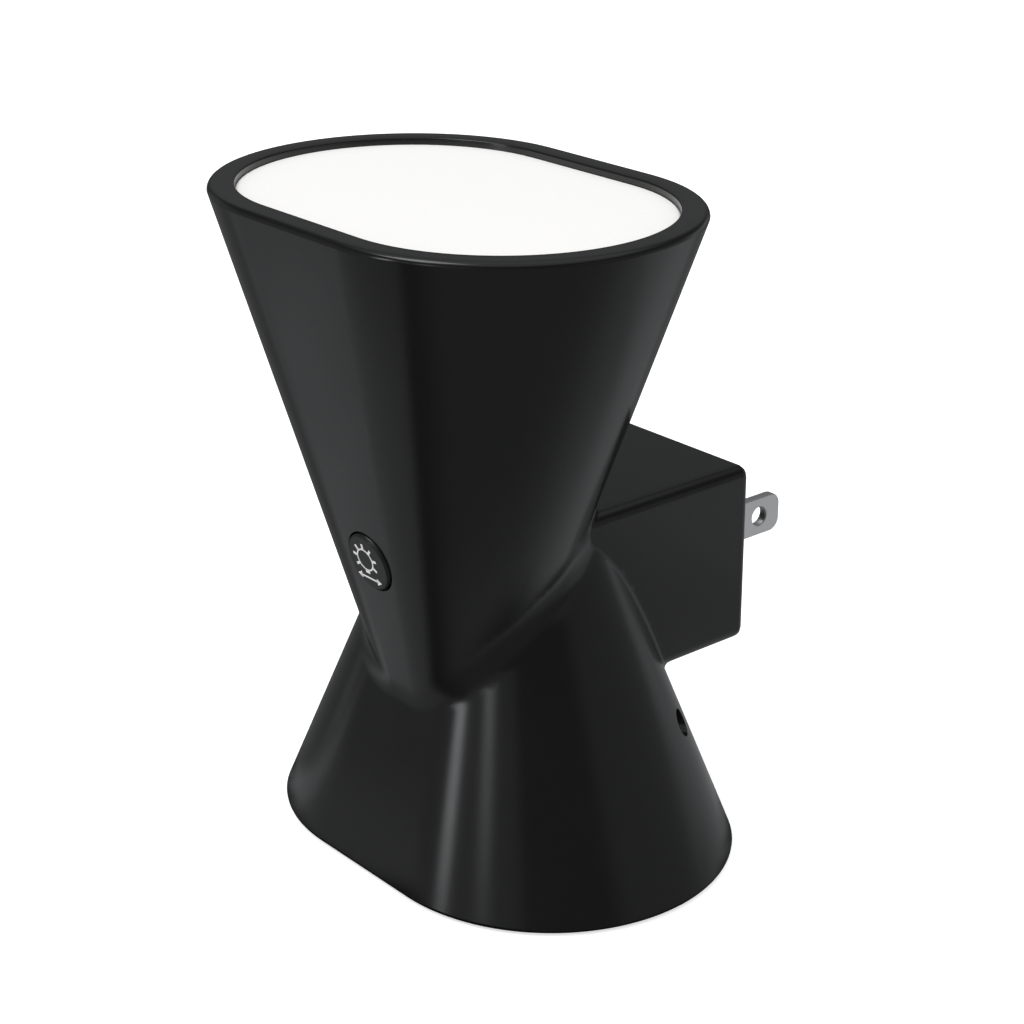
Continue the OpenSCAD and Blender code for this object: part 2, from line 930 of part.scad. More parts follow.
module film_capacitor() {
    color("gold")
        on_board(-board_w / 2 + 1.4, board_near + 8 + film_size[1])
            cube(film_size);
}

module choke() {
    color("saddlebrown")
        on_board(0, choke_at)
            union() {
                cylinder(h = 1, r = choke_r);
                cylinder(h = choke_h, r = choke_r - 0.8);
                translate([0, 0, choke_h - 1])
                    cylinder(h = 1, r = choke_r);
            }
}

module bridge_rectifier() {
    color([0.12, 0.12, 0.12])
        on_board(board_w / 2 - 7.6, board_near + fuse_len + 7.8)
            cube([6.4, 4.8, 2.4]);
}

module fuse_resistor() {
    color("tan")
        on_board(board_w / 2 - fuse_r - 1.8, board_near + 2)
            translate([0, 0, fuse_r])
                rotate([90, 0, 0])
                    union() {
                        cylinder(h = fuse_len, r = fuse_r);
                        for (end = [-0.9, fuse_len - bit])
                            translate([0, 0, end])
                                cylinder(h = 0.9 + bit, r = 0.35);
                    }
}

module driver_chip() {
    color([0.08, 0.08, 0.08])
        on_board(board_w / 2 - 7, socket_at - socket_size[1] / 2 - 0.8)
            cube([5, 3.6, 1.5]);
}

module control_chip() {
    color([0.08, 0.08, 0.08])
        translate([-3, -choke_at - 3, board_top - board_t - 1.5])
            cube([6, 5, 1.5]);
}

module lead_sockets() {
    color("ivory")
        for (x = socket_x)
            on_board(x, socket_at)
                translate([0, 0, socket_size[2] / 2])
                    cube(socket_size, center = true);
}

// Leads: round tubes along smooth routes

function unit(v) = v / norm(v);
function smooth(p, i, t) =
    let (a = p[max(i - 1, 0)], b = p[i], c = p[i + 1], d = p[min(i + 2, len(p) - 1)])
        0.5 * (2 * b + (c - a) * t + (2 * a - 5 * b + 4 * c - d) * t * t
            + (3 * b - a - 3 * c + d) * t * t * t);
function route(p, k) = concat(
    [for (i = [0 : len(p) - 2], j = [0 : k - 1]) smooth(p, i, j / k)], [p[len(p) - 1]]);

module lead(points, across) {
    path = route(points, 4);
    last = len(path) - 1;
    stop = len(points) - 1;
    skin([for (i = [0 : last])
        let (
            t = i == 0 ? unit(points[1] - points[0])
                : i == last ? unit(points[stop] - points[stop - 1])
                : unit(path[i + 1] - path[i - 1]),
            u = unit(cross(across, t)),
            v = cross(t, u))
        [for (a = [0 : 45 : 315]) path[i] + lead_r * (cos(a) * u + sin(a) * v)]]);
}

module blade_lead(side) {
    x = side * blade_pitch / 2;
    tail_end = -cover_t - shoulder_t - tail_len;
    pad = -lead_pad_at - 2.4;
    lead([[x, tail_end, -0.2], [x, tail_end - 1.2, -0.2], [x, pad, -2.4],
        [x, pad, board_top]], [1, 0, 0]);
}

module live_lead() {
    color("firebrick") blade_lead(1);
}

module neutral_lead() {
    color("whitesmoke") blade_lead(-1);
}

// Two leads side by side, apart along one direction at the start and along another at the end
module lead_pair(points, from = [1, 0, 0], to = [1, 0, 0]) {
    last = len(points) - 1;
    for (side = [-1, 1])
        lead([for (i = [0 : last])
            points[i] + side * leg_pitch / 2 * unit(mix(from, to, i / last))], [1, 0, 0]);
}

socket_front = -socket_at - socket_size[1] / 2;
socket_mid = board_top + socket_size[2] / 2;

module top_leads() {
    color("crimson")
        lead_pair([
            [socket_x[1], socket_front, socket_mid],
            [socket_x[1], socket_front - 3, socket_mid],
            [-2.6, -40, 8],
            [-1.4, -42.5, 24],
            [0, upper_y, rim_z - floor_depth - 6],
            [0, upper_y, rim_z - floor_depth + bowl_wall]]);
}

module bottom_leads() {
    color("royalblue")
        lead_pair([
            [socket_x[2], socket_front, socket_mid],
            [socket_x[2], socket_front - 3, socket_mid],
            [2.4, -40, -9],
            [0, lower_y, base_z + floor_depth + 4],
            [0, lower_y, base_z + floor_depth - bowl_wall]]);
}

module button_leads() {
    at_back = -switch_back - button_board_t;
    end_y = button_y - at_back * cos(button_tilt);
    end_z = button_z - at_back * sin(button_tilt);
    color("orange")
        lead_pair([
            [socket_x[0], socket_front, socket_mid],
            [socket_x[0], socket_front - 2.5, socket_mid],
            [-6.8, end_y + 4, 4],
            [-4.6, end_y + 3 * cos(button_tilt), end_z + 3 * sin(button_tilt)],
            [-4.6, end_y, end_z]]);
}

module sensor_leads() {
    depth = photocell_at + photocell_len + leg_len;
    out = [cos(sensor_angle), sin(sensor_angle), 0];
    end = [sensor_x, sensor_y, sensor_z] - depth * out;
    color("seagreen")
        lead_pair([
            [socket_x[3], socket_front, socket_mid],
            [socket_x[3], socket_front - 2.5, socket_mid],
            [9.6, -39.5, -11],
            end - 3 * out,
            end], [1, 0, 0], [out[1], -out[0], 0]);
}

body_shell();
top_diffuser();
bottom_diffuser();
top_reflector();
bottom_reflector();
top_led_board();
bottom_led_board();
top_leds();
bottom_leds();
top_board_screws();
bottom_board_screws();
button_cap();
switch_plunger();
switch_housing();
switch_cover();
button_board();
button_board_screws();
sensor_window();
sensor_sleeve();
photocell();
plug_cover();
cover_screws();
narrow_blade();
wide_blade();
blade_retainer();
retainer_screws();
driver_board();
upright_capacitor();
film_capacitor();
choke();
bridge_rectifier();
fuse_resistor();
driver_chip();
control_chip();
lead_sockets();
live_lead();
neutral_lead();
top_leads();
bottom_leads();
button_leads();
sensor_leads();
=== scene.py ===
import math

import bmesh
import bpy
import numpy as np
from mathutils import Matrix, Vector

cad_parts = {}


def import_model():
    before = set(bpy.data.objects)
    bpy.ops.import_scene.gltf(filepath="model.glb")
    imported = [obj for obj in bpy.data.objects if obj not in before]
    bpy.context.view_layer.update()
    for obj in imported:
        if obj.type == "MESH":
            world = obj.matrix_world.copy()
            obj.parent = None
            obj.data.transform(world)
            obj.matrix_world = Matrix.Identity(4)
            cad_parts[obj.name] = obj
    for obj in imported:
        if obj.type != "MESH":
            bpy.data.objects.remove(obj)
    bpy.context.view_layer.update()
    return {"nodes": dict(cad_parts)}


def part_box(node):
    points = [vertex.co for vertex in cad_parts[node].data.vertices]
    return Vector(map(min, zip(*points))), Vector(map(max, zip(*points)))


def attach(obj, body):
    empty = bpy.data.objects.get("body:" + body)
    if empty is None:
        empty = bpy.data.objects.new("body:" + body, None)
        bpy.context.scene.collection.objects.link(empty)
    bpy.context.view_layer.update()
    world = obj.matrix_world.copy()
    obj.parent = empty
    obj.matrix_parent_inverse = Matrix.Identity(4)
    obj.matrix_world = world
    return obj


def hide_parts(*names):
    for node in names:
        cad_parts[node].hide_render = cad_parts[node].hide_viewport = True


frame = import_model()

# ---------------------------------------------------------------- Body shell
# One moulding in black satin plastic: two oval flares that cross at the waist, with
# the plug box growing out behind. Inner corners have soft fillets, and the wall is
# drawn in from the outer skin and closed at its five openings.

MM = 0.001
shell_low, shell_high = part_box("body_shell")
BASE_Z = shell_low.z / MM
RIM_Z = shell_high.z / MM

# Both rims share one oval, with a rounded edge, a flat band and a ledge. Lengths are in mm.
RIM_RADIUS = 28.0
RIM_HALF = 10.7
RIM_ROUND = 0.9
RIM_BAND = 4.1
LEDGE = 1.3
SEAT_DEPTH = 4.0
LIP = 0.25

# Where each flare stands, and how much it narrows and leans for each mm of height.
UPPER_Y = -44.0
UPPER_TAPER = 0.253
UPPER_NARROW = 0.115
UPPER_LEAN = 0.014
LOWER_Y = -35.2
LOWER_TAPER = 0.328
LOWER_NARROW = 0.126

# The plug box, and the fillets that join the forms.
BOX_HALF_W = 16.2
BOX_HALF_H = 14.3
BOX_CORNER = 1.8
BOX_ROUND = 1.4
BOX_ROOT = 46.0
WAIST_FILLET = 6.5
BOX_FILLET = 1.3

# The wall, which thickens towards the rims, and the net of faces that becomes its surface.
WALL = 2.2
RIM_WALL = 3.1
INNER_RISE = 15.0
VOXEL = 1.0
FINE_BAND = 0.6
FINE_REACH = 2.5
DRAW_ROUNDS = 6
DRAW_REACH = 2.0
OVERSHOOT = 4.0
UPPER_FLARE_END = 20.0
LOWER_FLARE_END = 58.0
BURIED = 0.5
LEVEL = 0.1
SHARP = math.radians(40)
ROUNDING = [math.radians(a) for a in (15, 30, 45, 60, 75, 90)]

# The two round holes.
BUTTON_Z = BASE_Z + 49.1
BUTTON_HOLE = 4.72
BUTTON_DEPTH = 4.5
SENSOR_Z = BASE_Z + 20.1
SENSOR_TURN = math.radians(41)
SENSOR_HOLE = 2.0
SENSOR_DEPTH = 4.0
HOLE_LIP = 0.12
CUTTER_STEPS = 64
CUTTER_REACH = 7.0


def unit(v):
    return v / np.maximum(np.linalg.norm(v, axis=1, keepdims=True), 1e-9)


def flare(p, up, axis_y, taper, narrow, lean):
    """Distance in mm from points p to a flare, and its outward direction there."""
    drop = RIM_Z - p[:, 2] if up else p[:, 2] - BASE_Z
    x = np.maximum(np.abs(p[:, 0]) - (RIM_HALF - narrow * drop), 0)
    y = p[:, 1] - (axis_y - lean * drop)
    across = np.maximum(np.hypot(x, y), 1e-6)
    fall = (x * narrow + y * lean) / across + taper
    direction = np.stack([np.sign(p[:, 0]) * x / across, y / across,
                          -fall if up else fall], axis=1)
    return (across - (RIM_RADIUS - taper * drop)) / math.hypot(1, taper), unit(direction)


def plug_box(p):
    x = np.abs(p[:, 0]) - BOX_HALF_W + BOX_CORNER
    z = np.abs(p[:, 2]) - BOX_HALF_H + BOX_CORNER
    out = np.stack([np.where(x > 0, x, 0), 0 * x, np.where(z > 0, z, 0)], axis=1)
    far = np.linalg.norm(out, axis=1)
    inside = far == 0
    out[inside, 0] = (x > z)[inside]
    out[inside, 2] = (x <= z)[inside]
    distance = np.where(inside, np.maximum(x, z), far) - BOX_CORNER
    out *= np.sign(p) + (p == 0)
    front = -BOX_ROOT - p[:, 1]
    ahead = front > distance
    distance[ahead] = front[ahead]
    out[ahead] = (0, -1, 0)
    return distance, unit(out)


def filleted(first, second, radius):
    """Two forms joined by a fillet, as a ball of that radius rolling between them leaves."""
    (a, na), (b, nb) = first, second
    c = np.clip(np.einsum("ij,ij->i", na, nb), -0.95, 0.995)
    u, v = radius - a, radius - b
    rolling = (u > c * v) & (v > c * u) & (u > 0) & (v > 0)
    reach = np.sqrt(np.maximum(u * u + v * v - 2 * c * u * v, 1e-9) / (1 - c * c))
    round_out = unit((u - c * v)[:, None] * na + (v - c * u)[:, None] * nb)
    nearer = (a < b)[:, None]
    direction = np.where(rolling[:, None], round_out, np.where(nearer, na, nb))
    return np.where(rolling, radius - reach, np.minimum(a, b)), direction


def body(p):
    upper = flare(p, True, UPPER_Y, UPPER_TAPER, UPPER_NARROW, UPPER_LEAN)
    lower = flare(p, False, LOWER_Y, LOWER_TAPER, LOWER_NARROW, 0)
    return filleted(filleted(upper, lower, WAIST_FILLET), plug_box(p), BOX_FILLET)


def on_body(p):
    """Points p drawn onto the body's surface, except those far inside."""
    for _ in range(DRAW_ROUNDS):
        distance, direction = body(p)
        near = np.abs(distance) < DRAW_REACH
        p = p - np.where(near, distance, 0)[:, None] * direction
    return p


def oval(radius, half, axis_y, z, steps=36):
    """Points of an oval ring, anticlockwise from above."""
    ring = []
    for side in (1, -1):
        for i in range(steps + 1):
            a = -side * math.pi / 2 + math.pi * i / steps
            ring.append((side * half + radius * math.cos(a), axis_y + radius * math.sin(a), z))
    return ring


def in_scene(name, data):
    """An object in the scene for a mesh, a lamp or a camera."""
    piece = bpy.data.objects.new(name, data)
    bpy.context.scene.collection.objects.link(piece)
    return piece


def new_piece(name, points, faces, scale=MM):
    """An object with its place in its mesh, from points in mm."""
    mesh = bpy.data.meshes.new(name)
    mesh.from_pydata([tuple(scale * c for c in p) for p in points], [], faces)
    return in_scene(name, mesh)


def loft(rings):
    """Points and faces of a closed form over rings with the same number of points."""
    n = len(rings[0])
    points = [p for ring in rings for p in ring]
    faces = [tuple(reversed(range(n))), tuple(range(len(points) - n, len(points)))]
    for j in range(len(rings) - 1):
        for i in range(n):
            a, b = j * n + i, j * n + (i + 1) % n
            faces.append((a, b, b + n, a + n))
    return points, faces


def evaluated_mesh(piece):
    """A new mesh of the piece with its modifiers applied."""
    graph = bpy.context.evaluated_depsgraph_get()
    return bpy.data.meshes.new_from_object(piece.evaluated_get(graph))


def apply_modifiers(piece):
    """Makes the modified form the piece's own mesh."""
    piece.data = evaluated_mesh(piece)
    piece.modifiers.clear()


def take_off(*pieces):
    for piece in pieces:
        bpy.data.objects.remove(piece)


def rough_body():
    """A closed net of small even faces round the three forms, drawn onto the body."""
    upper, lower = [], []
    for z in (BASE_Z + UPPER_FLARE_END, RIM_Z + OVERSHOOT):
        drop = RIM_Z - z
        upper.append(oval(RIM_RADIUS - UPPER_TAPER * drop, RIM_HALF - UPPER_NARROW * drop,
                          UPPER_Y - UPPER_LEAN * drop, z))
    for z in (BASE_Z - OVERSHOOT, BASE_Z + LOWER_FLARE_END):
        drop = z - BASE_Z
        lower.append(oval(RIM_RADIUS - LOWER_TAPER * drop, RIM_HALF - LOWER_NARROW * drop,
                          LOWER_Y, z))
    w, h = BOX_HALF_W, BOX_HALF_H
    corners = ((-w, -h), (-w, h), (w, h), (w, -h))
    box = [[(x, y, z) for x, z in corners] for y in (-BOX_ROOT, OVERSHOOT)]
    points, faces = [], []
    for rings in (upper, lower, box):
        p, f = loft(rings)
        faces += [tuple(i + len(points) for i in face) for face in f]
        points += p
    piece = new_piece("rough_body", points, faces)
    remesh = piece.modifiers.new("net", "REMESH")
    remesh.mode = "VOXEL"
    remesh.voxel_size = VOXEL * MM
    mesh = evaluated_mesh(piece)
    take_off(piece)
    net = bmesh.new()
    net.from_mesh(mesh)
    bmesh.ops.scale(net, vec=(1 / MM,) * 3, verts=net.verts)
    return net


def places(net):
    net.verts.index_update()
    return np.array([v.co for v in net.verts])


def draw_onto_body(net):
    for vertex, p in zip(net.verts, on_body(places(net))):
        vertex.co = p


def refine(net):
    """Smaller faces where the fillets begin and end."""
    p = places(net)
    upper = flare(p, True, UPPER_Y, UPPER_TAPER, UPPER_NARROW, UPPER_LEAN)
    lower = flare(p, False, LOWER_Y, LOWER_TAPER, LOWER_NARROW, 0)
    both = filleted(upper, lower, WAIST_FILLET)
    box = plug_box(p)
    fine = np.zeros(len(p), bool)
    for (a, na), (b, nb), radius in ((upper, lower, WAIST_FILLET), (both, box, BOX_FILLET)):
        c = np.einsum("ij,ij->i", na, nb)
        u, v = radius - a, radius - b
        inside = np.minimum(u - c * v, v - c * u) / np.sqrt(np.maximum(1 - c * c, 1e-4))
        fine |= (inside > -FINE_BAND) & (np.maximum(np.abs(a), np.abs(b)) < FINE_REACH)
    edges = [e for e in net.edges if fine[e.verts[0].index] and fine[e.verts[1].index]]
    bmesh.ops.subdivide_edges(net, edges=edges, cuts=2, use_grid_fill=True)
    bmesh.ops.triangulate(net, faces=[f for f in net.faces if len(f.verts) > 4])


def drilled(net, centre, axis, radius):
    """The net with a round pocket cut into it, so that its mouth has a clean edge."""
    mesh = bpy.data.meshes.new("net")
    net.to_mesh(mesh)
    net.free()
    piece = in_scene("net", mesh)
    side = axis.orthogonal().normalized()
    up = axis.cross(side)
    turns = [2 * math.pi * i / CUTTER_STEPS for i in range(CUTTER_STEPS)]
    cutter = new_piece("cutter", *loft([
        [centre + depth * axis + radius * (math.cos(a) * side + math.sin(a) * up) for a in turns]
        for depth in (-CUTTER_REACH, CUTTER_REACH)]), scale=1)
    cut = piece.modifiers.new("pocket", "BOOLEAN")
    cut.operation = "DIFFERENCE"
    cut.solver = "EXACT"
    cut.object = cutter
    net = bmesh.new()
    net.from_mesh(evaluated_mesh(piece))
    take_off(piece, cutter)
    return net


def open_rings(net):
    """The open edges of a net, each as a ring of vertex numbers in order."""
    joined = {}
    for edge in net.edges:
        if edge.is_boundary:
            a, b = (v.index for v in edge.verts)
            joined.setdefault(a, []).append(b)
            joined.setdefault(b, []).append(a)
    rings = []
    while joined:
        ring = [next(iter(joined))]
        while True:
            ahead = [v for v in joined.pop(ring[-1]) if v in joined]
            if not ahead:
                break
            ring.append(ahead[0])
        rings.append(ring)
    return rings


def rim_profile(p, up):
    """Rings over a rim's rounded edge, its flat band, the recess and the ledge."""
    half = RIM_HALF - (UPPER_NARROW if up else LOWER_NARROW) * RIM_ROUND
    middle = np.zeros_like(p)
    middle[:, 0] = np.clip(p[:, 0], -half, half)
    middle[:, 1] = UPPER_Y - UPPER_LEAN * RIM_ROUND if up else LOWER_Y
    away = p - middle
    away[:, 2] = 0
    start = np.linalg.norm(away, axis=1, keepdims=True)
    away /= start
    lip = RIM_RADIUS - RIM_BAND
    shape = []
    for a in ROUNDING:
        shape.append((start - RIM_ROUND * (1 - math.cos(a)), -RIM_ROUND * (1 - math.sin(a))))
    for a in (0, math.pi / 6, math.pi / 3, math.pi / 2):
        shape.append((lip + LIP * (1 - math.sin(a)), -LIP * (1 - math.cos(a))))
    shape += [(lip, -SEAT_DEPTH), (lip - LEDGE, -SEAT_DEPTH)]
    rings = []
    for radius, height in shape:
        ring = middle + away * radius
        ring[:, 2] = RIM_Z + height if up else BASE_Z - height
        rings.append(ring)
    return rings


def box_profile(p):
    """Rings over the plug box's rounded rear edge and its narrow rear face."""
    away = p.copy()
    away[:, 0] -= np.clip(p[:, 0], BOX_CORNER - BOX_HALF_W, BOX_HALF_W - BOX_CORNER)
    away[:, 1] = 0
    away[:, 2] -= np.clip(p[:, 2], BOX_CORNER - BOX_HALF_H, BOX_HALF_H - BOX_CORNER)
    away = unit(away)
    rings = []
    for a in ROUNDING:
        ring = p - away * BOX_ROUND * (1 - math.cos(a))
        ring[:, 1] = BOX_ROUND * (math.sin(a) - 1)
        rings.append(ring)
    ring = p - away * WALL
    ring[:, 1] = 0
    return rings + [ring]


def hole_profile(p, centre, axis, radius, depth):
    """Rings over a hole's softened mouth and down its wall."""
    centre, axis = np.array(centre), np.array(axis)
    height = ((p - centre) @ axis)[:, None]
    away = unit(p - centre - height * axis)
    rings = []
    for a in ROUNDING:
        rings.append(centre + away * (radius + HOLE_LIP * (1 - math.sin(a)))
                     + (height - HOLE_LIP * (1 - math.cos(a))) * axis)
    return rings + [centre + away * radius + (height - depth) * axis]


button_tilt = math.atan(UPPER_TAPER - UPPER_LEAN)
button_out = Vector((0, -math.cos(button_tilt), -math.sin(button_tilt)))
button_drop = RIM_Z - BUTTON_Z
button_at = Vector((0, UPPER_Y - UPPER_LEAN * button_drop
                    - RIM_RADIUS + UPPER_TAPER * button_drop, BUTTON_Z))
sensor_out = Vector((math.cos(SENSOR_TURN), math.sin(SENSOR_TURN), 0))
sensor_drop = SENSOR_Z - BASE_Z
sensor_at = Vector((RIM_HALF - LOWER_NARROW * sensor_drop, LOWER_Y, SENSOR_Z))
sensor_at += (RIM_RADIUS - LOWER_TAPER * sensor_drop) * sensor_out


def outer_skin():
    """The outer surface, open at both rims, at the plug box and at both round holes."""
    net = rough_body()
    draw_onto_body(net)
    refine(net)
    draw_onto_body(net)
    net = drilled(net, button_at, button_out, BUTTON_HOLE + HOLE_LIP)
    net = drilled(net, sensor_at, sensor_out, SENSOR_HOLE + HOLE_LIP)
    middles = np.array([f.calc_center_median() for f in net.faces])
    buried = body(middles)[0] < -BURIED
    net.faces.ensure_lookup_table()
    bmesh.ops.delete(net, geom=[net.faces[i] for i in np.flatnonzero(buried)], context="FACES")
    for at, out in (((0, 0, RIM_Z - RIM_ROUND), (0, 0, 1)),
                    ((0, 0, BASE_Z + RIM_ROUND), (0, 0, -1)),
                    ((0, -BOX_ROUND, 0), (0, 1, 0))):
        bmesh.ops.bisect_plane(net, geom=net.verts[:] + net.edges[:] + net.faces[:], dist=1e-3,
                               plane_co=at, plane_no=out, clear_outer=True)
    bmesh.ops.remove_doubles(net, verts=net.verts, dist=0.01)
    bmesh.ops.delete(net, geom=[v for v in net.verts if not v.link_faces], context="VERTS")
    return net


def closed_shell():
    """The moulding's mesh: outer skin, inner skin and the profiles that join them."""
    net = outer_skin()
    outer = places(net)
    normal = body(outer)[1]
    rim = np.minimum(RIM_Z - outer[:, 2], outer[:, 2] - BASE_Z)
    near = ((INNER_RISE - rim) / (INNER_RISE - RIM_ROUND)).clip(0, 1)
    inner = outer - normal * (WALL + RIM_WALL * near ** 2)[:, None]
    inner[:, 2] -= np.sign(outer[:, 2]) * near * (SEAT_DEPTH - RIM_ROUND)
    points, total = [outer, inner], 2 * len(outer)
    faces, mouth = [], set()
    for face in net.faces:
        ring = tuple(v.index for v in face.verts)
        faces += [ring, tuple(len(outer) + i for i in reversed(ring))]
    skin = len(faces)
    directed = {(loop.vert.index, loop.link_loop_next.vert.index)
                for face in net.faces for loop in face.loops}
    for ring in open_rings(net):
        p = outer[ring]
        if np.ptp(p[:, 2]) < LEVEL:
            profile = rim_profile(p, p[0, 2] > 0)
            inner[ring] = profile.pop()
        elif np.ptp(p[:, 1]) < LEVEL:
            profile = box_profile(p)
        elif abs(p[:, 0].mean()) < BUTTON_HOLE:
            profile = hole_profile(p, button_at, button_out, BUTTON_HOLE, BUTTON_DEPTH)
        else:
            profile = hole_profile(p, sensor_at, sensor_out, SENSOR_HOLE, SENSOR_DEPTH)
        rows = [ring]
        for row in profile:
            rows.append(list(range(total, total + len(row))))
            points.append(row)
            total += len(row)
        rows.append([len(outer) + i for i in ring])
        forward = (ring[0], ring[1]) in directed
        for low, high in zip(rows, rows[1:]):
            for i in range(len(ring)):
                j = (i + 1) % len(ring)
                quad = (low[j], low[i], high[i], high[j])
                if low is rows[0]:
                    mouth.add(len(faces))
                faces.append(quad if forward else quad[::-1])
    net.free()
    mesh = bpy.data.meshes.new("body_shell_moulding")
    mesh.from_pydata((np.concatenate(points) * MM).tolist(), [], faces)
    mesh.shade_smooth()
    mesh.set_sharp_from_angle(angle=SHARP)
    normals = np.zeros((len(mesh.loops), 3))
    for polygon in mesh.polygons:
        if polygon.index in mouth or (polygon.index < skin and polygon.index % 2 == 0):
            for loop in polygon.loop_indices:
                vertex = mesh.loops[loop].vertex_index
                if vertex < len(outer):
                    normals[loop] = normal[vertex]
    mesh.normals_split_custom_set(normals.tolist())
    return mesh


shell = in_scene("body_shell_moulding", closed_shell())


def place(piece, rides, material, slot, *nodes):
    """Gives a piece its material, the body it rides on and the CAD nodes it stands for."""
    if material:
        piece.data.materials.clear()
        piece.data.materials.append(material)
    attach(piece, rides)
    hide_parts(*nodes)


def surface(material):
    """The inputs of a material's Principled shader."""
    return material.node_tree.nodes["Principled BSDF"].inputs


def new_material(name, base, roughness, metallic=0.0):
    """A material with its Principled shader set to plain values."""
    material = bpy.data.materials.new(name)
    material.use_nodes = True
    surface(material)["Base Color"].default_value = (*base, 1)
    surface(material)["Roughness"].default_value = roughness
    surface(material)["Metallic"].default_value = metallic
    return material


def add(tree, kind, inputs=None, **settings):
    """A new node, with its inputs set to values or linked to sockets, by name or number."""
    node = tree.nodes.new(kind)
    for key, value in settings.items():
        setattr(node, key, value)
    for key, value in (inputs or {}).items():
        for each in value if isinstance(value, list) else [value]:
            if isinstance(each, bpy.types.NodeSocket):
                tree.links.new(each, node.inputs[key])
            else:
                node.inputs[key].default_value = each
    return node


def product(tree, a, b):
    return add(tree, "ShaderNodeMath", {0: a, 1: b}, operation="MULTIPLY").outputs[0]


def surface_grain_group():
    """The shared effect of a worked surface: fine grain or drawn lines, whose scale may
    differ along each axis, and slow changes of colour and gloss."""
    group = bpy.data.node_groups.new("surface_grain", "ShaderNodeTree")
    for name, kind, value in (("Colour", "NodeSocketColor", (0.5, 0.5, 0.5, 1)),
                              ("Other Colour", "NodeSocketColor", (0.5, 0.5, 0.5, 1)),
                              ("Roughness", "NodeSocketFloat", 0.4),
                              ("Spread", "NodeSocketFloat", 0.1),
                              ("Grain Scale", "NodeSocketVector", (2500, 2500, 2500))):
        group.interface.new_socket(name, in_out="INPUT", socket_type=kind).default_value = value
    for name, kind in (("Colour", "NodeSocketColor"), ("Roughness", "NodeSocketFloat"),
                       ("Height", "NodeSocketFloat")):
        group.interface.new_socket(name, in_out="OUTPUT", socket_type=kind)
    given = add(group, "NodeGroupInput").outputs
    at = add(group, "ShaderNodeTexCoord").outputs["Object"]
    stretched = add(group, "ShaderNodeMapping", {"Vector": at, "Scale": given["Grain Scale"]})
    grain = add(group, "ShaderNodeTexNoise",
                {"Vector": stretched.outputs[0], "Scale": 1.0, "Detail": 3.0}).outputs[0]
    slow = add(group, "ShaderNodeTexNoise", {"Vector": at, "Scale": 70.0, "Detail": 2.0}).outputs[0]
    both = product(group, grain, slow)
    gloss = add(group, "ShaderNodeMath", {0: both, 1: given["Spread"], 2: given["Roughness"]},
                operation="MULTIPLY_ADD").outputs[0]
    colour = add(group, "ShaderNodeMix", {
        0: slow, 6: given["Colour"], 7: given["Other Colour"]}, data_type="RGBA").outputs[2]
    add(group, "NodeGroupOutput", {"Colour": colour, "Roughness": gloss, "Height": grain})
    return group


surface_grain = surface_grain_group()


def grained(name, base, other, roughness, spread=0.2, relief=0.004,
            scale=(2500, 2500, 2500), metallic=0.0):
    """A material between two colours, with a grain of the given relief in mm."""
    material = new_material(name, base, roughness, metallic)
    tree = material.node_tree
    grain = add(tree, "ShaderNodeGroup", {
        "Colour": (*base, 1), "Other Colour": (*other, 1), "Roughness": roughness,
        "Spread": spread, "Grain Scale": scale}, node_tree=surface_grain).outputs
    bump = add(tree, "ShaderNodeBump", {"Height": grain["Height"], "Distance": relief * MM})
    for socket, name in ((grain["Colour"], "Base Color"), (grain["Roughness"], "Roughness"),
                         (bump.outputs[0], "Normal")):
        tree.links.new(socket, surface(material)[name])
    return material


black_plastic = grained("black_satin_plastic", (0.0068, 0.0068, 0.0072),
                        (0.0082, 0.0082, 0.0086), 0.15, spread=0.12, relief=0.0012)
place(shell, "housing", black_plastic, "shell_plastic", "body_shell")

# ---------------------------------------------------------------- Diffusers
# An oval plate of opal plastic closes each end just below the rim. Its face has a fine
# pebble that spreads the light, its edge is eased, and it is pressed into the rim.

DIFFUSER_RECESS = 1.0
DIFFUSER_THICK = 2.0
DIFFUSER_PLAY = 0.1
DIFFUSER_EDGE = 0.35
DIFFUSER_GLOW = 0.15


def finished(piece, soften=0.0, angle=35):
    """The piece with its edges rounded by so many mm, smooth up to the given angle."""
    if soften:
        edges = piece.modifiers.new("edges", "BEVEL")
        edges.width = soften * MM
        edges.segments = 3
        edges.limit_method = "ANGLE"
        edges.angle_limit = math.radians(angle)
        apply_modifiers(piece)
    piece.data.shade_smooth()
    piece.data.set_sharp_from_angle(angle=math.radians(angle))
    piece.modifiers.new("normals", "WEIGHTED_NORMAL").keep_sharp = True
    apply_modifiers(piece)
    return piece


opal = grained("opal_plastic", (0.93, 0.925, 0.915), (0.88, 0.88, 0.875), 0.42,
               relief=0.03, scale=(1600, 1600, 1600))
surface(opal)["Emission Color"].default_value = (1.0, 0.985, 0.96, 1)
surface(opal)["Emission Strength"].default_value = DIFFUSER_GLOW
for name, axis_y, rim, out in (("top_diffuser", UPPER_Y, RIM_Z, 1),
                               ("bottom_diffuser", LOWER_Y, BASE_Z, -1)):
    radius = RIM_RADIUS - RIM_BAND - DIFFUSER_PLAY
    outline = [(DIFFUSER_RECESS + DIFFUSER_THICK, DIFFUSER_EDGE / 2),
               (DIFFUSER_RECESS + DIFFUSER_THICK - DIFFUSER_EDGE / 2, 0)]
    for a in [0] + ROUNDING:
        outline.append((DIFFUSER_RECESS + DIFFUSER_EDGE * (1 - math.sin(a)),
                        DIFFUSER_EDGE * (1 - math.cos(a))))
    rings = [oval(radius - inset, RIM_HALF, axis_y, rim - out * depth) for depth, inset in outline]
    plate = finished(new_piece(name + "_plate", *loft(rings[::out])))
    place(plate, "housing", opal, "opal_diffuser", name)

# ---------------------------------------------------------------- Reflectors and LED boards
# Behind each diffuser sits a white moulded bowl, and on its floor a white-masked aluminium
# board. Both stay as the frame has them.


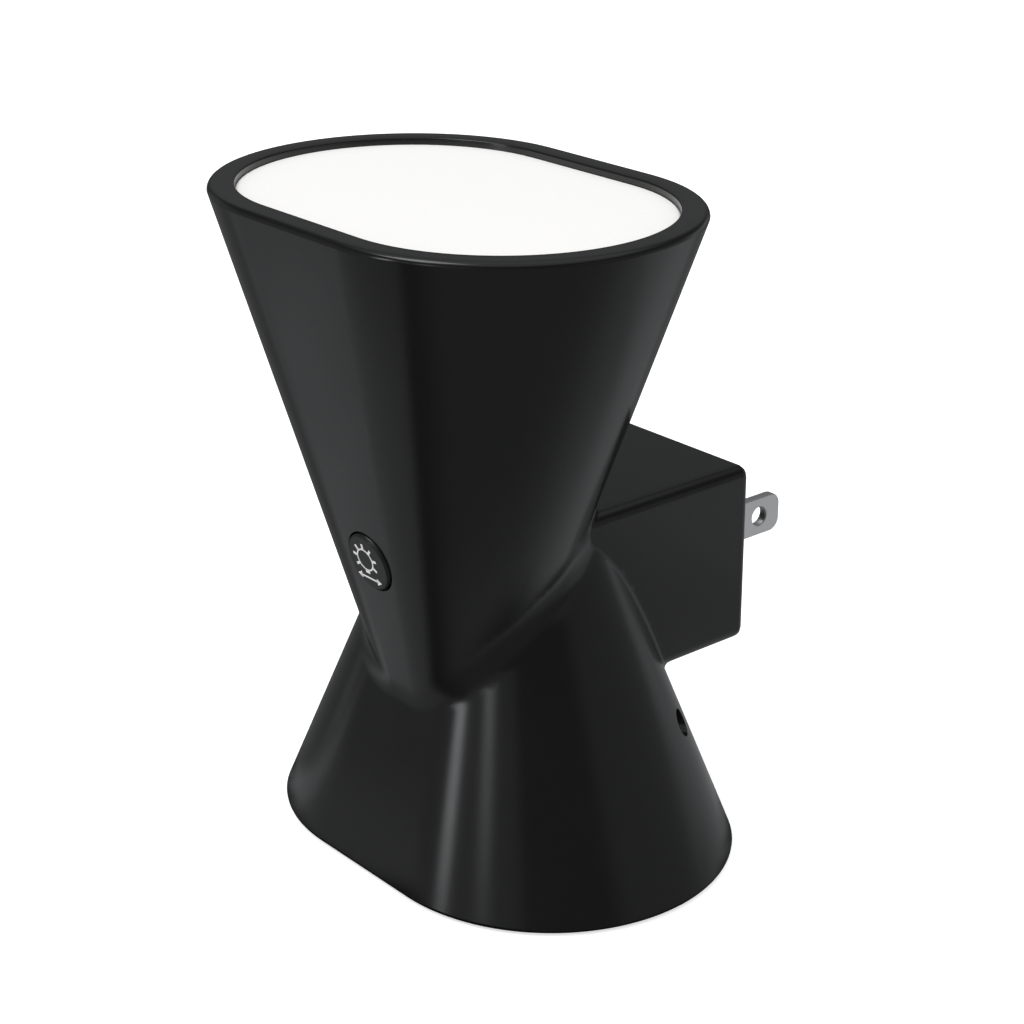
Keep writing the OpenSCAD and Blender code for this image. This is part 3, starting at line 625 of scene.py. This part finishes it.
def dress(material, *nodes):
    """Gives the frame's own solids their finish."""
    for node in nodes:
        for slot in frame["nodes"][node].material_slots:
            slot.material = material


white_plastic = grained("white_plastic", (0.86, 0.86, 0.84), (0.82, 0.82, 0.8), 0.4,
                        relief=0.006)
white_mask = grained("white_solder_mask", (0.88, 0.88, 0.86), (0.83, 0.84, 0.82), 0.3,
                     relief=0.003)
dress(white_plastic, "top_reflector", "bottom_reflector")
dress(white_mask, "top_led_board", "bottom_led_board")

# ---------------------------------------------------------------- LEDs
# Two rows of four square packages on each board. Each is a white ceramic body with a metal
# terminal on either side and a yellow phosphor disc on top, soldered flat.

BOARD_DEPTH = 12.6
LED_ROW_Y = 7.775
LED_PITCH = 8.0667


def new_tree(name, inputs):
    """A node tree that makes a mesh, with named inputs."""
    tree = bpy.data.node_groups.new(name, "GeometryNodeTree")
    tree.interface.new_socket("Geometry", in_out="INPUT", socket_type="NodeSocketGeometry")
    for label, kind in inputs:
        tree.interface.new_socket(label, in_out="INPUT", socket_type="NodeSocket" + kind)
    tree.interface.new_socket("Geometry", in_out="OUTPUT", socket_type="NodeSocketGeometry")
    return tree, add(tree, "NodeGroupInput").outputs


def painted(tree, geometry, material):
    """The socket of a geometry with its instances made real and its material set."""
    real = add(tree, "GeometryNodeRealizeInstances", {0: geometry}).outputs[0]
    return add(tree, "GeometryNodeSetMaterial", {"Geometry": real, "Material": material}).outputs[0]


def block(tree, size):
    return add(tree, "GeometryNodeMeshCube", {"Size": size}).outputs[0]


def moved(tree, geometry, place, turn=(0, 0, 0)):
    """The socket of a geometry that is turned and then moved."""
    return add(tree, "GeometryNodeTransform", {
        "Geometry": geometry, "Translation": place, "Rotation": turn}).outputs[0]


def at_points(tree, points, geometry, turn):
    """The socket of a geometry repeated at points."""
    return add(tree, "GeometryNodeInstanceOnPoints", {
        "Points": points, "Instance": geometry, "Rotation": turn}).outputs[0]


def grown(name, tree, points, values):
    """A plain mesh that a tree makes at points, with its inputs given by name, all in mm."""
    piece = new_piece(name, points, [], scale=1)
    growth = piece.modifiers.new("growth", "NODES")
    growth.node_group = tree
    for item in tree.interface.items_tree:
        if item.in_out == "INPUT" and item.name in values:
            growth[item.identifier] = values[item.name]
    apply_modifiers(piece)
    piece.data.transform(Matrix.Scale(MM, 4))
    return piece


def led_tree():
    tree, given = new_tree("led_packages", (
        ("Body Size", "Vector"), ("Terminal Size", "Vector"), ("Terminal Offset", "Float"),
        ("Disc Radius", "Float"), ("Disc Height", "Float"), ("Turn", "Rotation"),
        ("Body", "Material"), ("Terminal", "Material"), ("Phosphor", "Material")))
    height = add(tree, "ShaderNodeSeparateXYZ", {0: given["Body Size"]}).outputs["Z"]
    lift = add(tree, "ShaderNodeCombineXYZ", {"Z": product(tree, height, 0.5)}).outputs[0]
    body = moved(tree, block(tree, given["Body Size"]), lift)
    thick = add(tree, "ShaderNodeSeparateXYZ", {0: given["Terminal Size"]}).outputs["Z"]
    parts = [painted(tree, body, given["Body"])]
    for side in (1, -1):
        spot = add(tree, "ShaderNodeCombineXYZ", {
            "X": product(tree, given["Terminal Offset"], side),
            "Z": product(tree, thick, 0.5)}).outputs[0]
        terminal = moved(tree, block(tree, given["Terminal Size"]), spot)
        parts.append(painted(tree, terminal, given["Terminal"]))
    disc = add(tree, "GeometryNodeMeshCylinder", {
        "Vertices": 24, "Radius": given["Disc Radius"], "Depth": given["Disc Height"]}).outputs[0]
    top = add(tree, "ShaderNodeCombineXYZ", {"Z": height}).outputs[0]
    parts.append(painted(tree, moved(tree, disc, top), given["Phosphor"]))
    package = add(tree, "GeometryNodeJoinGeometry", {0: parts}).outputs[0]
    spread = at_points(tree, given["Geometry"], package, given["Turn"])
    real = add(tree, "GeometryNodeRealizeInstances", {0: spread}).outputs[0]
    add(tree, "NodeGroupOutput", {0: real})
    return tree


led_packages = led_tree()
ceramic = grained("led_ceramic", (0.85, 0.84, 0.8), (0.8, 0.79, 0.75), 0.35)
phosphor = grained("led_phosphor", (0.88, 0.7, 0.16), (0.82, 0.62, 0.12), 0.45,
                   relief=0.01, scale=(6000, 6000, 6000))
solder = grained("tinned_terminal", (0.62, 0.62, 0.63), (0.55, 0.55, 0.57), 0.28, metallic=1.0)
for name, axis_y, rim, out in (("top_leds", UPPER_Y, RIM_Z, 1),
                               ("bottom_leds", LOWER_Y, BASE_Z, -1)):
    spots = [((i - 1.5) * LED_PITCH, axis_y + side * LED_ROW_Y, rim - out * BOARD_DEPTH)
             for side in (-1, 1) for i in range(4)]
    leds = grown(name + "_packages", led_packages, spots, {
        "Body Size": (2.6, 3.0, 0.6), "Terminal Size": (0.3, 2.6, 0.35),
        "Terminal Offset": 1.34, "Disc Radius": 1.1, "Disc Height": 0.18,
        "Turn": (0 if out > 0 else math.pi, 0, 0),
        "Body": ceramic, "Terminal": solder, "Phosphor": phosphor})
    place(leds, "housing", None, "led_package", name)

# ---------------------------------------------------------------- Screws
# Small bright steel screws with cross recesses. Pan heads hold the LED boards, the button
# board and the blade retainer, and countersunk ones close the plug cover.

SCREW_CORE = 0.85
PAN_SCREW = [(0.3, -5), (SCREW_CORE, -4.4), (SCREW_CORE, 0), (1.86, 0), (1.9, 0.06), (1.9, 0.45),
             (1.85, 0.68), (1.7, 0.88), (1.45, 1.04), (1.1, 1.15), (0.7, 1.2)]
FLAT_SCREW = [(0.3, -9), (SCREW_CORE, -8.4), (SCREW_CORE, -1.25), (1.0, -1.2), (1.85, -0.12),
              (1.88, -0.05), (1.84, 0)]
THREAD_PITCH = 0.8
THREAD_WIRE = 0.14
RECESS = (2.5, 0.48, 1.3)


def turned(name, outline, steps=48, scale=MM):
    """A form turned on a lathe from (radius, height) pairs, from its foot to its head."""
    turns = [2 * math.pi * i / steps for i in range(steps)]
    rings = [[(r * math.cos(a), r * math.sin(a), z) for a in turns] for r, z in outline]
    return new_piece(name, *loft(rings), scale=scale)


def screw_tree():
    tree, given = new_tree("screws", (
        ("Blank", "Object"), ("Recess Size", "Vector"), ("Recess Place", "Vector"),
        ("Thread Turns", "Float"), ("Thread Radius", "Float"), ("Thread Height", "Float"),
        ("Thread Place", "Vector"), ("Wire Radius", "Float"), ("Turn", "Rotation"),
        ("Metal", "Material")))
    blank = add(tree, "GeometryNodeObjectInfo", {"Object": given["Blank"]}).outputs["Geometry"]
    bars = [moved(tree, block(tree, given["Recess Size"]), given["Recess Place"], (0, 0, angle))
            for angle in (0, math.pi / 2)]
    cut = add(tree, "GeometryNodeMeshBoolean", {0: blank, 1: bars},
              operation="DIFFERENCE", solver="EXACT").outputs[0]
    path = add(tree, "GeometryNodeCurveSpiral", {
        "Resolution": 20, "Rotations": given["Thread Turns"],
        "Start Radius": given["Thread Radius"], "End Radius": given["Thread Radius"],
        "Height": given["Thread Height"]}).outputs[0]
    wire = add(tree, "GeometryNodeCurvePrimitiveCircle",
               {"Resolution": 4, "Radius": given["Wire Radius"]}).outputs[0]
    thread = add(tree, "GeometryNodeCurveToMesh",
                 {"Curve": path, "Profile Curve": wire, "Fill Caps": True}).outputs[0]
    thread = moved(tree, thread, given["Thread Place"])
    whole = add(tree, "GeometryNodeJoinGeometry", {0: [cut, thread]}).outputs[0]
    spread = at_points(tree, given["Geometry"], whole, given["Turn"])
    add(tree, "NodeGroupOutput", {0: painted(tree, spread, given["Metal"])})
    return tree


screws = screw_tree()
bright_steel = grained("bright_steel", (0.6, 0.6, 0.62), (0.52, 0.52, 0.54), 0.22,
                       relief=0.003, scale=(5000, 5000, 900), metallic=1.0)
button_frame = (Matrix.Translation(button_at)
                @ Matrix.Rotation(math.pi / 2 + button_tilt, 4, "X"))
BUTTON_BOARD_BACK = 14.1
RETAINER_BACK = 6.4
COVER_SINK = 0.3
LED_BOARD_X = (-17, 17)
BUTTON_BOARD_X = (-9, 9)
RETAINER_Z = (-3.5, 3.5)
COVER_X = (-11.3, 11.3)
COVER_Z = (-9.4, 9.4)
for name, outline, turn, spots in (
        ("top_board_screws", PAN_SCREW, 0,
         [(x, UPPER_Y, RIM_Z - BOARD_DEPTH) for x in LED_BOARD_X]),
        ("bottom_board_screws", PAN_SCREW, 180,
         [(x, LOWER_Y, BASE_Z + BOARD_DEPTH) for x in LED_BOARD_X]),
        ("button_board_screws", PAN_SCREW, 270 + math.degrees(button_tilt),
         [button_frame @ Vector((x, 0, -BUTTON_BOARD_BACK)) for x in BUTTON_BOARD_X]),
        ("retainer_screws", PAN_SCREW, 90, [(0, -RETAINER_BACK, z) for z in RETAINER_Z]),
        ("cover_screws", FLAT_SCREW, 270, [(x, -COVER_SINK, z) for x in COVER_X for z in COVER_Z])):
    foot, seat, head = outline[1][1], outline[2][1], outline[-1][1]
    blank = turned("blank", outline, steps=32, scale=1)
    piece = grown(name + "_set", screws, spots, {
        "Blank": blank, "Recess Size": RECESS, "Recess Place": (0, 0, head),
        "Thread Turns": (seat - foot) / THREAD_PITCH - 0.5,
        "Thread Radius": SCREW_CORE + 0.01, "Thread Height": seat - foot - 0.3,
        "Thread Place": (0, 0, foot), "Wire Radius": THREAD_WIRE,
        "Turn": (math.radians(turn), 0, 0), "Metal": bright_steel})
    take_off(blank)
    place(finished(piece), "housing", None, "screw_steel", name)

# ---------------------------------------------------------------- Push button
# A round black cap that slides in the body's collar. A flange behind the wall keeps it in,
# a stem reaches the switch, and its flat face carries a printed white lamp sign.

CAP_RADIUS = 4.5
CAP_PROUD = 0.45
CAP_EDGE = 0.5
CAP_STEM = [(1.4, -7.9), (1.6, -7.7), (1.6, -5.6)]
CAP_FLANGE = [(6.2, -5.6), (6.32, -5.5), (6.32, -4.6), (6.22, -4.5)]
INK_HIGH = 0.035
SIGN_AT = (-0.45, 0.35, CAP_PROUD + INK_HIGH / 4)

cap_outline = CAP_STEM + CAP_FLANGE + [(CAP_RADIUS, CAP_FLANGE[-1][1])]
for a in [0] + ROUNDING:
    cap_outline.append((CAP_RADIUS - CAP_EDGE * (1 - math.cos(a)),
                        CAP_PROUD - CAP_EDGE * (1 - math.sin(a))))


def set_at_button(piece, shift=(0, 0, 0)):
    """Moves a piece made round Z to the button's place and tilt, with a shift in mm."""
    piece.data.transform(Matrix.Scale(MM, 4) @ button_frame @ Matrix.Translation(shift)
                         @ Matrix.Scale(1 / MM, 4))


cap = finished(turned("button_cap_turned", cap_outline, steps=96))
set_at_button(cap)
button_black = grained("button_black_plastic", (0.0085, 0.0085, 0.009),
                       (0.01, 0.01, 0.0105), 0.3, relief=0.0015)
place(cap, "button", button_black, "button_plastic", "button_cap")


def sign_tree():
    tree, given = new_tree("lamp_sign", (
        ("Ring Radius", "Float"), ("Line Size", "Vector"), ("Ray Count", "Int"),
        ("Ray Radius", "Float"), ("Ray Size", "Vector"), ("First Ray", "Float"),
        ("Ray Sweep", "Float"), ("Neck Size", "Vector"), ("Neck Place", "Vector"),
        ("Shaft Size", "Vector"), ("Shaft Place", "Vector"), ("Head Radius", "Float"),
        ("Head Offset", "Vector"), ("Ink", "Material")))
    sizes = add(tree, "ShaderNodeSeparateXYZ", {0: given["Line Size"]}).outputs
    ring = add(tree, "GeometryNodeCurvePrimitiveCircle",
               {"Resolution": 64, "Radius": given["Ring Radius"]}).outputs[0]
    line = add(tree, "GeometryNodeCurvePrimitiveQuadrilateral",
               {"Width": sizes["X"], "Height": sizes["Z"]}).outputs[0]
    parts = [add(tree, "GeometryNodeCurveToMesh",
                 {"Curve": ring, "Profile Curve": line}).outputs[0]]
    arc = add(tree, "GeometryNodeCurveArc", {
        "Resolution": given["Ray Count"], "Radius": given["Ray Radius"],
        "Start Angle": given["First Ray"], "Sweep Angle": given["Ray Sweep"]}).outputs[0]
    at = add(tree, "GeometryNodeInputPosition").outputs[0]
    outward = add(tree, "FunctionNodeAlignRotationToVector", {"Vector": at}, axis="X").outputs[0]
    parts.append(at_points(tree, arc, block(tree, given["Ray Size"]), outward))
    for size, spot in (("Neck Size", "Neck Place"), ("Shaft Size", "Shaft Place")):
        parts.append(moved(tree, block(tree, given[size]), given[spot]))
    for side in (1, -1):
        aside = add(tree, "ShaderNodeVectorMath", {
            0: given["Head Offset"], 1: (side, side, side)}, operation="MULTIPLY").outputs[0]
        spot = add(tree, "ShaderNodeVectorMath", {0: given["Shaft Place"], 1: aside}).outputs[0]
        head = add(tree, "GeometryNodeMeshCylinder", {
            "Vertices": 3, "Radius": given["Head Radius"], "Depth": sizes["Z"]}).outputs[0]
        parts.append(moved(tree, head, spot, (0, 0, 0 if side > 0 else math.pi)))
    whole = add(tree, "GeometryNodeJoinGeometry", {0: parts}).outputs[0]
    add(tree, "NodeGroupOutput", {0: painted(tree, whole, given["Ink"])})
    return tree


white_ink = grained("white_ink", (0.82, 0.82, 0.82), (0.74, 0.74, 0.74), 0.5)
sign = grown("button_lamp_sign", sign_tree(), [(0, 0, 0)], {
    "Ring Radius": 1.7, "Line Size": (0.25, 0.25, INK_HIGH), "Ray Count": 7, "Ray Radius": 2.25,
    "Ray Size": (0.8, 0.42, INK_HIGH), "First Ray": math.radians(-30),
    "Ray Sweep": math.radians(240), "Neck Size": (0.95, 0.5, INK_HIGH),
    "Neck Place": (0, -2.0, 0), "Shaft Size": (4.1, 0.28, INK_HIGH),
    "Shaft Place": (0.1, -3.05, 0), "Head Radius": 0.66, "Head Offset": (2.05, -0.08, 0),
    "Ink": white_ink})
set_at_button(sign, SIGN_AT)
place(sign, "button", None, "white_plastic")

# ---------------------------------------------------------------- Switch
# A square push switch soldered to a small board: black housing, a round plunger with an
# eased tip, and a sheet steel cover. The board hangs on two bosses behind the button.

SWITCH_FACE = 9.4
PLUNGER = [(1.6, -2), (1.7, -1.9), (1.7, 1.25), (1.62, 1.43), (1.45, 1.5)]

plunger = finished(turned("switch_plunger_turned",
                          [(r, z - SWITCH_FACE) for r, z in PLUNGER], steps=64))
set_at_button(plunger)
part_black = grained("component_black", (0.03, 0.03, 0.03), (0.04, 0.04, 0.04), 0.45,
                     relief=0.008)
place(plunger, "plunger", part_black, "component_black", "switch_plunger")


def softened(name, node, soften):
    """A copy of one of the frame's solids with its edges rounded by so many mm."""
    solid = bmesh.new()
    solid.from_mesh(frame["nodes"][node].data)
    bmesh.ops.remove_doubles(solid, verts=solid.verts, dist=1e-6)
    bmesh.ops.dissolve_limit(solid, angle_limit=math.radians(0.5), verts=solid.verts,
                             edges=solid.edges)
    mesh = bpy.data.meshes.new(name)
    solid.to_mesh(mesh)
    solid.free()
    return finished(in_scene(name, mesh), soften)


def circuit_board():
    """Green solder mask over copper tracks that show through as paler lines."""
    material = grained("circuit_board_green", (0.03, 0.18, 0.07), (0.025, 0.15, 0.06), 0.3,
                       relief=0.003)
    tree = material.node_tree
    at = add(tree, "ShaderNodeTexCoord").outputs["Object"]
    tracks = add(tree, "ShaderNodeTexBrick", {
        "Vector": at, "Scale": 260.0, "Mortar Size": 0.06, "Color1": (0, 0, 0, 1),
        "Color2": (0, 0, 0, 1), "Mortar": (1, 1, 1, 1)}).outputs[0]
    mask = surface(material)["Base Color"].links[0].from_socket
    colour = add(tree, "ShaderNodeMix", {0: tracks, 6: mask, 7: (0.06, 0.3, 0.12, 1)},
                 data_type="RGBA").outputs[2]
    tree.links.new(colour, surface(material)["Base Color"])
    return material


board_green = circuit_board()
place(softened("switch_housing_block", "switch_housing", 0.15), "housing", part_black,
      "component_black", "switch_housing")
dress(bright_steel, "switch_cover")
dress(board_green, "button_board")

# ---------------------------------------------------------------- Light sensor
# A smoked window with a slightly domed face closes the hole in the body's right end. Behind
# it a rubber sleeve grips the photocell.

WINDOW_FACE = 1.1
WINDOW = [(1.85, -1.5), (1.95, -1.4), (1.95, -0.5), (1.89, -0.34), (1.8, -0.2), (1.5, -0.1),
          (1.1, -0.04), (0.6, -0.01), (0.2, 0)]

window = finished(turned("sensor_window_lens",
                         [(r, z - WINDOW_FACE) for r, z in WINDOW], steps=64))
sensor_frame = (Matrix.Translation(sensor_at * MM)
                @ sensor_out.to_track_quat("Z", "Y").to_matrix().to_4x4())
window.data.transform(sensor_frame)
smoked = grained("smoked_window", (0.02, 0.016, 0.018), (0.024, 0.019, 0.021), 0.1,
                 spread=0.05, relief=0.0005)
surface(smoked)["Coat Weight"].default_value = 0.5
surface(smoked)["Coat Roughness"].default_value = 0.05
rubber = grained("sleeve_rubber", (0.03, 0.03, 0.03), (0.04, 0.04, 0.04), 0.65, relief=0.01)
cell = grained("photocell_brown", (0.45, 0.2, 0.12), (0.36, 0.15, 0.09), 0.35, relief=0.005)
place(window, "housing", smoked, "dark_window", "sensor_window")
dress(rubber, "sensor_sleeve")
dress(cell, "photocell")

# ---------------------------------------------------------------- Plug
# A cover with eased edges closes the box and carries two flat nickel-plated blades, whose
# shoulders a white retainer clamps from inside. The metal shows drawn lines along its length.

nickel = grained("satin_nickel", (0.84, 0.84, 0.845), (0.78, 0.78, 0.785), 0.23,
                 spread=0.3, relief=0.002, scale=(5000, 260, 5000), metallic=1.0)
place(softened("plug_cover_plate", "plug_cover", 0.25), "housing", black_plastic,
      "shell_plastic", "plug_cover")
place(softened("narrow_blade_plated", "narrow_blade", 0.2), "housing", nickel,
      "blade_nickel", "narrow_blade")
place(softened("wide_blade_plated", "wide_blade", 0.2), "housing", nickel,
      "blade_nickel", "wide_blade")
place(softened("blade_retainer_block", "blade_retainer", 0.25), "housing", white_plastic,
      "white_plastic", "blade_retainer")

# ---------------------------------------------------------------- Driver
# A green board slides in on rails. It carries a sleeved capacitor, a film capacitor, a wound
# choke, the bridge rectifier, a fuse resistor, two chips and four lead sockets.

dress(board_green, "driver_board")
for node, name, soften, finish, slot in (
        ("film_capacitor", "film_capacitor_box", 0.7,
         ("film_yellow", (0.7, 0.48, 0.04), (0.64, 0.43, 0.03), 0.25), "film_yellow"),
        ("bridge_rectifier", "bridge_rectifier_block", 0.2, None, "component_black"),
        ("driver_chip", "driver_chip_block", 0.15, None, "component_black"),
        ("control_chip", "control_chip_block", 0.15, None, "component_black"),
        ("lead_sockets", "lead_sockets_blocks", 0.3,
         ("socket_ivory", (0.8, 0.75, 0.6), (0.74, 0.69, 0.55), 0.4), "socket_ivory")):
    material = grained(*finish) if finish else part_black
    place(softened(name, node, soften), "housing", material, slot, node)
for node, name, base, other in (
        ("upright_capacitor", "capacitor_sleeve", (0.02, 0.025, 0.09), (0.025, 0.03, 0.11)),
        ("choke", "choke_copper", (0.45, 0.18, 0.07), (0.36, 0.13, 0.05)),
        ("fuse_resistor", "resistor_tan", (0.5, 0.34, 0.2), (0.44, 0.29, 0.17))):
    dress(grained(name, base, other, 0.3), node)

# ---------------------------------------------------------------- Leads
# Soft insulated wires join the blades, the light boards, the button board and the photocell
# to the driver board.

for colour, base, nodes in (
        ("red", (0.5, 0.02, 0.02), ("live_lead", "top_leads")),
        ("white", (0.75, 0.75, 0.74), ("neutral_lead",)),
        ("blue", (0.02, 0.08, 0.5), ("bottom_leads",)),
        ("orange", (0.7, 0.2, 0.02), ("button_leads",)),
        ("green", (0.03, 0.3, 0.1), ("sensor_leads",))):
    dress(grained(f"lead_{colour}", base, tuple(0.85 * c for c in base), 0.4), *nodes)

# ---------------------------------------------------------------- Camera and studio
# The night light stands on a plain white floor in a soft white studio. Cards that only
# reflections show stand for the dark and pale sides of the room and two upright strips.

LENS = 80.95
TARGET = Vector((0, -30.45, 10.7)) * MM
DISTANCE = 342.7 * MM
TURN = math.radians(49.44)
RISE = math.radians(22.13)


def aim(piece, turn, rise, distance):
    """Points a camera or lamp at the waist, from a turn to the right of the front and a rise."""
    back = Vector((math.sin(turn) * math.cos(rise), -math.cos(turn) * math.cos(rise),
                   math.sin(rise)))
    piece.location = TARGET + back * distance
    piece.rotation_euler = (-back).to_track_quat("-Z", "Y").to_euler()


camera_data = bpy.data.cameras.new("camera")
camera_data.lens = LENS
camera_data.sensor_width = 36
camera_data.shift_x = -0.0158
camera_data.shift_y = -0.0053
camera_data.clip_start = 0.01
camera = in_scene("camera", camera_data)
aim(camera, TURN, RISE, DISTANCE)
bpy.context.scene.camera = camera
bpy.context.scene.view_settings.view_transform = "Standard"

FLOOR_Z = BASE_Z - 0.2
FLOOR_HALF = 3000
FLOOR_LIFT = 0.6
DAYLIGHT = 0.8

floor = new_piece("floor", [(FLOOR_HALF * x, FLOOR_HALF * y, FLOOR_Z)
                            for x, y in ((-1, -1), (1, -1), (1, 1), (-1, 1))], [(0, 1, 2, 3)])
floor_paint = new_material("floor_paint", (0.9, 0.9, 0.9), 0.8)
surface(floor_paint)["Specular IOR Level"].default_value = 0.0
floor.data.materials.append(floor_paint)


def seen_directly(tree, strength, base):
    """A strength added to a base for rays from the camera, from gloss and through glass."""
    ray = add(tree, "ShaderNodeLightPath").outputs
    either = add(tree, "ShaderNodeMath", {0: ray["Is Camera Ray"], 1: ray["Is Glossy Ray"]},
                 operation="MAXIMUM").outputs[0]
    either = add(tree, "ShaderNodeMath", {0: either, 1: ray["Is Transmission Ray"]},
                 operation="MAXIMUM").outputs[0]
    return add(tree, "ShaderNodeMath", {0: either, 1: strength, 2: base},
               operation="MULTIPLY_ADD").outputs[0]


tree = floor_paint.node_tree
surface(floor_paint)["Emission Color"].default_value = (1, 1, 1, 1)
tree.links.new(seen_directly(tree, FLOOR_LIFT, 0.0), surface(floor_paint)["Emission Strength"])

world = bpy.data.worlds.new("studio")
world.use_nodes = True
bpy.context.scene.world = world
backdrop = world.node_tree.nodes["Background"].inputs
backdrop["Color"].default_value = (1, 1, 1, 1)
world.node_tree.links.new(seen_directly(world.node_tree, 1 - DAYLIGHT, DAYLIGHT),
                          backdrop["Strength"])

LAMP_TURN = math.radians(-25)
LAMP_RISE = math.radians(62)
LAMP_DISTANCE = 1.1
LAMP_SIZE = 0.5
LAMP_POWER = 3.0

lamp_data = bpy.data.lights.new("key_lamp", "AREA")
lamp_data.size = LAMP_SIZE
lamp_data.energy = LAMP_POWER
lamp = in_scene("key_lamp", lamp_data)
aim(lamp, LAMP_TURN, LAMP_RISE, LAMP_DISTANCE)

card_paint = bpy.data.materials.new("card_paint")
card_paint.use_nodes = True
tree = card_paint.node_tree
tree.nodes.clear()
glow = add(tree, "ShaderNodeAttribute", attribute_name="glow").outputs["Fac"]
shine = add(tree, "ShaderNodeEmission", {"Color": (0.96, 0.98, 1, 1), "Strength": glow}).outputs[0]
add(tree, "ShaderNodeOutputMaterial", {"Surface": shine})


def card(name, points, faces, glow):
    """A card that only reflections show, with a brightness for each of its points."""
    piece = new_piece(name, points, faces)
    shines = piece.data.attributes.new("glow", "FLOAT", "POINT")
    shines.data.foreach_set("value", np.maximum(glow, 0).astype(np.float32))
    piece.data.materials.append(card_paint)
    piece.visible_camera = piece.visible_diffuse = piece.visible_shadow = False
    piece.visible_transmission = False


def grid_faces(rows, columns):
    """Four-sided faces between the points of a grid, given row by row."""
    starts = [j * columns + i for j in range(rows - 1) for i in range(columns - 1)]
    return [(a, a + 1, a + columns + 1, a + columns) for a in starts]


def step(x):
    """0 below 0, 1 above 1, and smooth between."""
    x = np.clip(x, 0, 1)
    return x * x * (3 - 2 * x)


def after(x, start, over):
    """0 up to start, rising smoothly to 1 over the given length."""
    return step((x - start) / over)


def before(x, end, over):
    """0 from end on, falling smoothly from 1 over the given length."""
    return step((end - x) / over)


def band(x, low, high, soft):
    """1 from low to high and 0 outside, with edges as wide as soft."""
    return after(x, low - soft / 2, soft) * before(x, high + soft / 2, soft)


# The room's patches: brightness, then where each lies round from the front, positive to the
# right, and in height above the floor, both as from, to and softness in degrees.
ROOM_RADIUS = 1500
ROOM_Y = -40
ROOM_GLOW = 0.06
ALL = 999
ROOM_PATCHES = (
    (0.13, (-95, -24, 10), (-20, 26, 16)),
    (0.18, (-10, 34, 8), (-20, 26, 16)),
    (0.15, (92, ALL, 16), (-20, 24, 12)),
    (0.3, (171, ALL, 18), (-20, 16, 12)),
    (0.3, (-ALL, -160, 20), (-20, 16, 12)),
    (0.1, (-152, -105, 20), (12, 45, 16)),
    (4.5, (-20.5, -12.5, 4), (2, 24, 14)),
    (2.1, (5.5, 13.5, 6), (10.5, 24, 10)),
    (0.5, (-ALL, ALL, 1), (50, ALL, 20)))

degrees, height = np.meshgrid(np.arange(-180, 180.1, 1.5), np.arange(-3, 90.1, 3))
room_glow = ROOM_GLOW + sum(glow * band(degrees, *along) * band(height, *up)
                            for glow, along, up in ROOM_PATCHES)
turn, rise = np.radians(degrees), np.radians(height)
around = ROOM_RADIUS * np.stack([np.sin(turn) * np.cos(rise), -np.cos(turn) * np.cos(rise),
                                 np.sin(rise)], axis=-1).reshape(-1, 3) + (0, ROOM_Y, BASE_Z)
card("room_card", around, grid_faces(*turn.shape), room_glow.ravel())

# The floor's card: its grid is finest near the base, and its glow differs on the left, the
# right and in the strip that runs off to the front left. Lengths are in mm.
FLOOR_STEPS = 161
FLOOR_MARGIN = 50
LEFT_FAR, LEFT_NEAR, LEFT_BEHIND, LEFT_STRIP = 0.17, 0.29, 0.13, 0.18
RIGHT_NEAR, RIGHT_BEHIND, BEND_DIM, LEFT_DIM = 0.13, 0.28, 0.4, 0.55

# The lines that part the glows, each from one point of the floor to another.
SIDES_LINE = (4, -80, -6, -176)
LEFT_BEHIND_LINE = (-60, -66, -200, -105)
STRIP_LINE = (-35, -62, -81, -93)
RIGHT_BEHIND_LINE = (78, -14, 125, 36)

spread = np.linspace(-1, 1, FLOOR_STEPS)
spread = (ROOM_RADIUS + FLOOR_MARGIN) * spread * np.abs(spread)
x, y = np.meshgrid(spread, spread + ROOM_Y)


def right_of(ax, ay, bx, by):
    """Distance of the floor's points to the right of a line from a to b."""
    return ((by - ay) * (x - ax) - (bx - ax) * (y - ay)) / math.hypot(bx - ax, by - ay)


from_base = np.hypot(np.maximum(np.abs(x) - RIM_HALF, 0), y - LOWER_Y) - RIM_RADIUS
left_half = after(right_of(*SIDES_LINE), 0, 14)
left_glow = LEFT_FAR + (LEFT_NEAR - LEFT_FAR) * after(y, -190, 60)
left_glow -= (left_glow - LEFT_BEHIND) * after(right_of(*LEFT_BEHIND_LINE), -11, 20)
off_strip = right_of(*STRIP_LINE)
left_glow += (LEFT_STRIP * after(off_strip, -7.5, 4) * before(off_strip, 11, 6)
              * before(x, -24, 10))
right_glow = (RIGHT_NEAR * after(x, -5, 50)
              + RIGHT_BEHIND * before(right_of(*RIGHT_BEHIND_LINE), 30, 60)
              * (1 - BEND_DIM * after(x, 35, 30) * before(y, 70, 25))
              * (1 - before(x, 30, 25) * before(y, -45, 25))
              * (1 - LEFT_DIM * before(x, -10, 30)))
# Both glows fade out close to the base: a painted shadow of the body on the floor, as the
# reflections show it.
floor_glow = np.maximum(left_half * left_glow * after(from_base, 0, 8),
                        right_glow * step(from_base / (9 + 21 * before(x, 10, 20))))
card("floor_card", np.stack([x, y, 0 * x + FLOOR_Z + 0.1], axis=-1).reshape(-1, 3),
     grid_faces(*x.shape), floor_glow.ravel())
